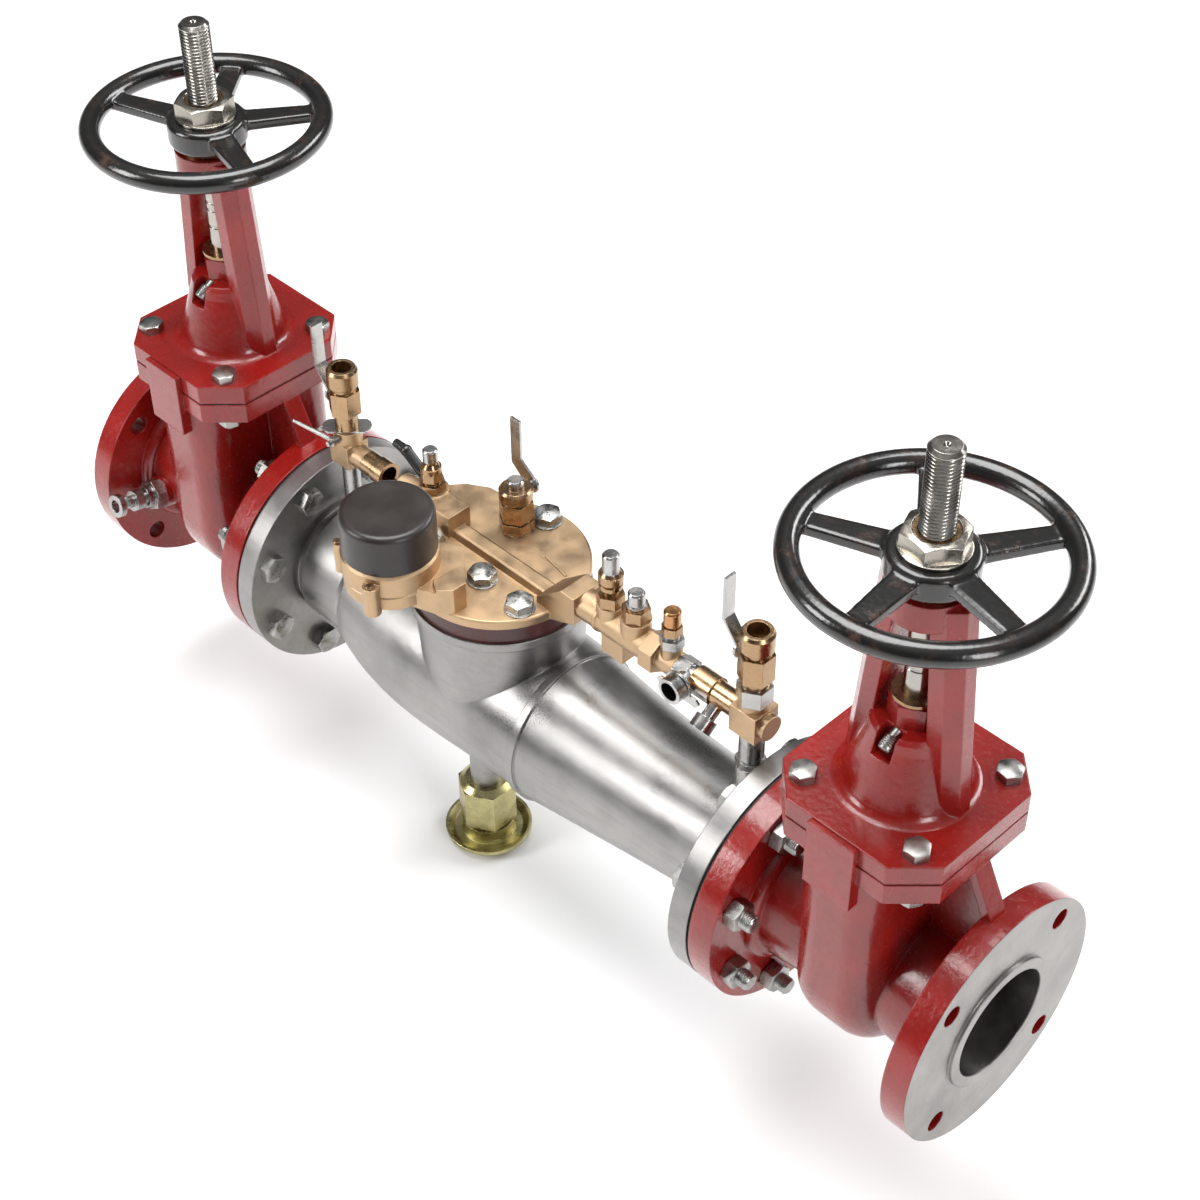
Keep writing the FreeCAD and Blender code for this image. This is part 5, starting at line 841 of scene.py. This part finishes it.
class DETECTOR_OT_handwheels(Step, Operator):
    """Model the two cast handwheels, blended into one skin, and their nuts"""

    bl_idname = "detector.handwheels"
    bl_label = "Model Handwheels"

    def spoke(self, sizes):
        """One flat spoke along X, wider at the hub."""
        reach = sizes.rim_radius
        inner = sizes.hub_radius - 0.006
        centre = (reach + inner) / 2
        top = sizes.rim_height + sizes.spoke_thick * 0.2
        deselect()
        bpy.ops.mesh.primitive_cube_add(size=1, location=(centre, 0, top - sizes.spoke_thick / 2))
        flat = bpy.context.object
        flat.scale = (reach - inner, sizes.spoke_hub, sizes.spoke_thick)
        settle(flat)
        choose_faces(flat, lambda middle, normal: normal.x > 0.9)
        share = sizes.spoke_rim / sizes.spoke_hub
        bpy.ops.transform.resize(value=(1, share, 1), center_override=(reach, 0, 0))
        bpy.ops.object.mode_set(mode="OBJECT")
        return flat

    def wheel(self, sizes, spokes, first):
        """Rim, hub and spokes, joined and blended into one skin."""
        deselect()
        bpy.ops.mesh.primitive_torus_add(major_radius=sizes.rim_radius, minor_radius=sizes.rim_tube,
                                         major_segments=112, minor_segments=22,
                                         location=(0, 0, sizes.rim_height))
        rim = settle(bpy.context.object)
        hub_high = HUB_LOW + sizes.hub_tall
        radius = sizes.hub_radius
        hub = lathe([(radius - 0.004, HUB_LOW), (radius, HUB_LOW + 0.004), (radius, hub_high - 0.003),
                     (radius - 0.003, hub_high)], 64)
        combine(hub, lathe([(sizes.hub_bore, HUB_LOW - 0.01), (sizes.hub_bore, hub_high + 0.01)], 64),
                "DIFFERENCE")
        arm = self.spoke(sizes)
        arms = copies(arm, [((0, 0, 0), (0, 0, math.radians(first + 72 * number)))
                            for number in range(spokes)])
        whole = join(rim, hub, arms)
        modify(whole, "REMESH", mode="VOXEL", voxel_size=sizes.grain)
        modify(whole, "SMOOTH", factor=0.5, iterations=7)
        return whole

    def nut(self, sizes):
        """Hex nut with a flange below and a plain bore."""
        tall = NUT_HIGH - NUT_LOW
        body = hexagon(sizes.nut_flats, 0.0025, tall, chamfer_low=False)
        rim = lathe([(sizes.nut_rim - 0.0008, 0), (sizes.nut_rim, 0.0006), (sizes.nut_rim, 0.0026),
                     (sizes.nut_rim - 0.0008, 0.003)], 64)
        whole = combine(body, rim, "UNION")
        bore = lathe([(sizes.nut_bore, -0.01), (sizes.nut_bore, tall - 0.001),
                      (sizes.nut_bore + 0.0015, tall + 0.001)], 48)
        return combine(whole, bore, "DIFFERENCE")

    def build(self, scene, colours):
        sizes = scene.detector_wheels
        enamel = black_enamel(colours)
        shade = metal("Handwheel nut steel", (0.43, 0.40, 0.35), rough=(0.18, 0.32), dark=0.72,
                      edge=0.0006, grain=800.0, height=0.00005, blotch=60.0).material
        for side, valve in VALVES.items():
            wheel = self.wheel(sizes, valve["spokes"], valve["first_spoke"])
            wheel.location = (valve["axis"], 0, 0)
            settle(wheel)
            bpy.ops.object.shade_smooth()
            present(wheel, side + "_cast_wheel", side + "_wheel", "black_enamel", enamel,
                    side + "_handwheel")
            nut = self.nut(sizes)
            nut.location = (valve["axis"], 0, NUT_LOW)
            nut.rotation_euler = (0, 0, math.radians(30 if side == "inlet" else 22))
            smooth(settle(nut))
            present(nut, side + "_wheel_nut", side + "_wheel", "steel_fasteners", shade,
                    side + "_handwheel_nut")


def threaded_bolt(flats, radius, head, grip, nut=0.0, tail=0.0, pitch=0.002, washer=0.0):
    """Hex bolt on Z: head above zero, shank below, then its nut and a threaded tail."""
    parts = [hexagon(flats, washer, head + washer, chamfer_low=False)]
    if washer:
        parts.append(lathe([(flats * 0.596, 0), (flats * 0.6, 0.0003), (flats * 0.6, washer - 0.0003),
                            (flats * 0.596, washer)], 40))
    end = -(grip + nut + tail)
    root = radius * 0.92
    parts.append(lathe([(root * 0.86, end), (root, end + 0.0012), (root, -grip + 0.0005),
                        (radius, -grip + 0.001), (radius, 0.0005)], 32))
    if nut:
        parts.append(hexagon(flats, -(grip + nut), -grip))
    if tail > 0.002:
        turns = max(1, int((tail + nut * 0.3 - 0.0012) / pitch))
        parts.append(thread_ridge(root, radius, pitch, pitch, end + 0.0014, turns, 20))
    return join(*parts)


class DETECTOR_OT_joint_bolts(Step, Operator):
    """Model the bolts and nuts of the two flange joints"""

    bl_idname = "detector.joint_bolts"
    bl_label = "Model Joint Bolts"

    def build(self, scene, colours):
        sizes = scene.detector_bolts
        low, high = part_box("joint_bolts")
        bolt = threaded_bolt(sizes.joint_flats, sizes.joint_radius, JOINT_HEAD, sizes.joint_grip,
                             JOINT_NUT, JOINT_TAIL, scene.detector_threads.bolt_pitch)
        places = []
        reach = sizes.joint_grip + JOINT_NUT + JOINT_TAIL
        for seat, lean in ((low.x + reach, math.pi / 2), (high.x - reach, -math.pi / 2)):
            for number in range(8):
                angle = math.radians(22.5 + 45 * number)
                turn = Matrix.Rotation(lean, 3, "Y") @ Matrix.Rotation(0.7 * number + lean, 3, "Z")
                places.append(((seat, sizes.joint_circle * math.cos(angle),
                                sizes.joint_circle * math.sin(angle)), turn.to_euler()))
        bolts = smooth(copies(bolt, places))
        shade = metal("Zinc plated bolts", colours.bolt, rough=(0.22, 0.42), dark=0.62, edge=0.0005,
                      grain=800.0, height=0.00006, blotch=75.0).material
        present(bolts, "flange_joint_bolts", "frame", "steel_fasteners", shade, "joint_bolts")


class DETECTOR_OT_bonnet_bolts(Step, Operator):
    """Model the bonnets' bolts and nuts"""

    bl_idname = "detector.bonnet_bolts"
    bl_label = "Model Bonnet Bolts"

    def build(self, scene, colours):
        sizes = scene.detector_bolts
        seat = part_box("bonnet_bolts")[1].z - BONNET_HEAD
        bolt = threaded_bolt(sizes.bonnet_flats, sizes.bonnet_radius, BONNET_HEAD, sizes.bonnet_grip,
                             BONNET_NUT, BONNET_TAIL, BONNET_PITCH)
        places = []
        for valve in VALVES.values():
            for number in range(4):
                angle = math.radians(45 + 90 * number)
                reach = sizes.bonnet_spot * math.sqrt(2)
                spot = (valve["axis"] + reach * math.cos(angle), reach * math.sin(angle), seat)
                places.append((spot, (0, 0, 0.4 + 1.1 * number)))
        bolts = smooth(copies(bolt, places))
        shade = metal("Bonnet bolt steel", tint(colours.bolt, 1.05), rough=(0.24, 0.42), dark=0.66,
                      edge=0.0006, grain=600.0, height=0.00008, blotch=85.0).material
        present(bolts, "bonnet_hex_bolts", "frame", "steel_fasteners", shade, "bonnet_bolts")


class DETECTOR_OT_lock_screws(Step, Operator):
    """Model the threaded screws that lean out of the domes"""

    bl_idname = "detector.lock_screws"
    bl_label = "Model Lock Screws"

    def build(self, scene, colours):
        sizes = scene.detector_bolts
        radius, long, seat = sizes.lock_radius, sizes.lock_long, sizes.lock_seat
        root = radius * 0.9
        screw = join(
            lathe([(radius * 0.75, 0.0), (radius * 0.75, seat), (root, seat + 0.0004),
                   (root, long - 0.0022), (root * 0.93, long - 0.001), (root * 0.72, long - 0.0002),
                   (root * 0.4, long)], 36),
            thread_ridge(root, radius * 0.985, sizes.lock_pitch, sizes.lock_pitch, seat + 0.0014, 5, 22))
        places = [((valve["axis"], -sizes.lock_out, sizes.lock_height), (sizes.lock_lean, 0, 0))
                  for valve in VALVES.values()]
        screws = smooth(copies(screw, places), 38)
        shade = metal("Lock screw steel", tint(colours.bolt, 0.95), rough=(0.22, 0.4), dark=0.7,
                      edge=0.0003, grain=900.0, height=0.00004, blotch=120.0).material
        present(screws, "gland_threaded_screws", "frame", "steel_fasteners", shade,
                "gland_lock_screws")


class DETECTOR_OT_cover_bolts(Step, Operator):
    """Model the cover's bolts with their washers"""

    bl_idname = "detector.cover_bolts"
    bl_label = "Model Cover Bolts"

    def build(self, scene, colours):
        sizes = scene.detector_bolts
        low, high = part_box("cover_bolts")
        spots = [(SHORT_COVER_BOLT, sizes.cover_short)]
        for degrees in COVER_BOLT_ANGLES:
            turn = Matrix.Rotation(math.radians(degrees), 3, "Z")
            spots.append((COVER_CENTRE + turn @ Vector((COVER_BOLT_REACH, 0, 0)), COVER_TOP - low.z))
        head = high.z - COVER_TOP - WASHER_THICK
        made = []
        for number, (spot, deep) in enumerate(spots):
            bolt = threaded_bolt(sizes.cover_flats, sizes.cover_radius, head, deep, washer=WASHER_THICK)
            bolt.location = (spot.x, spot.y, COVER_TOP)
            bolt.rotation_euler = (0, 0, 0.3 + 0.35 * number)
            made.append(settle(bolt))
        bolts = smooth(join(*made))
        shade = metal("Cover bolt zinc", tint(colours.bolt, 1.12), rough=(0.18, 0.45), dark=0.6,
                      bright_edge=1.3, edge=0.0009, grain=420.0, height=0.00022, blotch=120.0).material
        present(bolts, "cover_hex_bolts", "frame", "steel_fasteners", shade, "cover_bolts")


class DETECTOR_OT_meter_screws(Step, Operator):
    """Model the slotted screws in the meter's lugs and the raised line on the cover"""

    bl_idname = "detector.meter_screws"
    bl_label = "Model Meter Screws"

    def slotted_screw(self):
        head = lathe([(0.0034, -0.0005), (0.0038, 0.0), (0.0038, 0.0018), (0.0032, 0.0026)], 32)
        deselect()
        bpy.ops.mesh.primitive_cube_add(size=1, location=(0, 0, 0.0024))
        slot = bpy.context.object
        slot.scale = (0.01, 0.0011, 0.0016)
        return combine(head, settle(slot), "DIFFERENCE")

    def build(self, scene, colours):
        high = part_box("meter_body")[1]
        centre = middle("meter_cap")
        lug_top = high.z - 0.008
        places = []
        for degrees in METER_LUG_ANGLES:
            angle = math.radians(degrees)
            spot = (centre.x + METER_LUG_REACH * math.cos(angle),
                    centre.y + METER_LUG_REACH * math.sin(angle), lug_top)
            places.append((spot, (0, 0, angle)))
        screws = smooth(copies(self.slotted_screw(), places))
        shade = metal("Small screw brass", tint(colours.brass, 0.7), rough=(0.25, 0.4), edge=0.0003,
                      grain=1200.0, height=0.00004).material
        present(screws, "meter_lug_screws", "frame", "machined_brass", shade)
        deselect()
        start, end = (Vector((*spot, COVER_TOP)) for spot in RAISED_LINE)
        bpy.ops.mesh.primitive_cube_add(size=1, location=(start + end) / 2)
        line = bpy.context.object
        line.scale = ((end - start).length, 0.0011, 0.0012)
        line.rotation_euler = (0, 0, math.atan2(end.y - start.y, end.x - start.x))
        settle(line)
        choose_faces(line, lambda middle, normal: normal.z > 0.9)
        bpy.ops.transform.resize(value=(0.97, 0.5, 1), center_override=tuple((start + end) / 2))
        bpy.ops.object.mode_set(mode="OBJECT")
        present(smooth(line), "cover_raised_line", "frame", "cast_bronze",
                bpy.data.materials["Cast bronze"])


class DETECTOR_OT_springs(Step, Operator):
    """Wind the springs of the checks and the relief"""

    bl_idname = "detector.springs"
    bl_label = "Wind Springs"

    def build(self, scene, colours):
        sizes = scene.detector_springs
        shade = metal("Spring steel", tint(colours.stainless, 1.1), rough=(0.16, 0.3), edge=0.0002,
                      grain=900.0, height=0.00003).material
        springs = (("first_check", "first_check_slide", sizes.check_wire, sizes.check_turns,
                    sizes.check_travel, 0, 1),
                   ("second_check", "second_check_slide", sizes.check_wire, sizes.check_turns,
                    sizes.check_travel, 0, 1),
                   ("relief", "relief_poppet_slide", sizes.relief_wire, sizes.relief_turns,
                    sizes.relief_travel, 2, -1))
        for name, joint, wire, turns, travel, axis, way in springs:
            low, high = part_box(name + "_spring")
            long = high[axis] - low[axis]
            radius = (high.y - low.y) / 2 - wire / 2
            spring = coil(radius, wire, long, turns)
            spring.location = (low + high) / 2
            spring.location[axis] = low[axis]
            if axis == 0:
                spring.rotation_euler = (0, math.pi / 2, 0)
            smooth(settle(spring), 60)
            present(spring, name + "_coil_spring", "frame", "stainless", shade, name + "_spring")
            anchor = (low + high) / 2
            anchor[axis] = high[axis] if way > 0 else low[axis]
            direction = Vector((0, 0, 0))
            direction[axis] = 1.0
            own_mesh(spring)


class DETECTOR_OT_stage(Step, Operator):
    """Set the floor, the soft lights and the camera"""

    bl_idname = "detector.stage"
    bl_label = "Set Stage"

    def area(self, name, place, target, size, power):
        """Large soft light that faces its target."""
        deselect()
        bpy.ops.object.light_add(type="AREA", location=place)
        lamp = bpy.context.object
        lamp.name = name
        lamp.data.shape = "RECTANGLE"
        lamp.data.size, lamp.data.size_y = size
        lamp.data.energy = power
        lamp.rotation_euler = (Vector(target) - Vector(place)).to_track_quat("-Z", "Y").to_euler()

    def build(self, scene, colours):
        stage = scene.detector_stage
        deselect()
        bpy.ops.mesh.primitive_plane_add(size=14, location=(0.5, 0, CAD_LOW.z - 0.0004))
        floor = bpy.context.object
        floor.name = "studio_floor"
        finish = Finish("Studio floor", edge=0.0, grain=3.0, height=0.0, blotch=2.0)
        finish.set("Base Color", finish.blotched(colours.floor, 0.985))
        finish.set("Roughness", 0.85)
        finish.set("Specular IOR Level", 0.1)
        floor.data.materials.append(finish.material)
        world = bpy.data.worlds.new("White room")
        world.use_nodes = True
        tree = world.node_tree
        backdrop = tree.nodes["Background"]
        upward = coordinates(tree, "Generated")[1]["Z"]
        height = spread(tree, upward, 0.45, 1.0)
        room = blend_colours(tree, height, (0.17, 0.17, 0.175), (1.0, 1.0, 1.0))
        feed(tree, backdrop.inputs["Color"], room)
        backdrop.inputs["Strength"].default_value = stage.sky
        scene.world = world
        for name, place, size, share in SOFTBOXES:
            self.area(name, place, stage.target, size, stage.key * share)
        scene.view_settings.view_transform = "Standard"
        azimuth, elevation = stage.azimuth, stage.elevation
        back = Vector((math.sin(azimuth) * math.cos(elevation), -math.cos(azimuth) * math.cos(elevation),
                       math.sin(elevation)))
        deselect()
        bpy.ops.object.camera_add()
        camera = bpy.context.object
        camera.location = Vector(stage.target) + back * stage.distance
        facing = (-back).to_track_quat("-Z", "Y").to_matrix() @ Matrix.Rotation(-stage.roll, 3, "Z")
        camera.rotation_euler = facing.to_euler()
        camera.data.lens = stage.lens
        camera.data.sensor_width = 36.0
        camera.data.clip_start = 0.05
        camera.data.clip_end = 60.0
        scene.camera = camera


OPERATORS = (
    DETECTOR_OT_stage, DETECTOR_OT_paint_valves, DETECTOR_OT_finish_check_body,
    DETECTOR_OT_finish_bypass, DETECTOR_OT_finish_meter, DETECTOR_OT_stems, DETECTOR_OT_handwheels,
    DETECTOR_OT_joint_bolts, DETECTOR_OT_bonnet_bolts, DETECTOR_OT_lock_screws,
    DETECTOR_OT_cover_bolts, DETECTOR_OT_meter_screws, DETECTOR_OT_springs,
)
GROUPS = {
    "detector_colours": DetectorColours,
    "detector_threads": DetectorThreads,
    "detector_wheels": DetectorWheels,
    "detector_bolts": DetectorBolts,
    "detector_springs": DetectorSprings,
    "detector_stage": DetectorStage,
}


class DETECTOR_PT_looks(Panel):
    """Buttons and sizes of the detector assembly's looks"""

    bl_idname = "DETECTOR_PT_looks"
    bl_label = "Detector Assembly"
    bl_space_type = "VIEW_3D"
    bl_region_type = "UI"
    bl_category = "Detector Assembly"

    def draw(self, context):
        layout = self.layout
        for operator in OPERATORS:
            layout.operator(operator.bl_idname)
        for name, group in GROUPS.items():
            box = layout.box()
            for field in group.__annotations__:
                box.prop(getattr(context.scene, name), field)


CLASSES = (*GROUPS.values(), *OPERATORS, DETECTOR_PT_looks)


def register():
    for cls in CLASSES:
        bpy.utils.register_class(cls)
    for name, group in GROUPS.items():
        setattr(bpy.types.Scene, name, PointerProperty(type=group))


def unregister():
    for name in GROUPS:
        delattr(bpy.types.Scene, name)
    for cls in reversed(CLASSES):
        bpy.utils.unregister_class(cls)


def main():
    """Run every operator in order."""
    register()
    for operator in OPERATORS:
        family, name = operator.bl_idname.split(".")
        getattr(getattr(bpy.ops, family), name)()


if __name__ == "__main__":
    main()
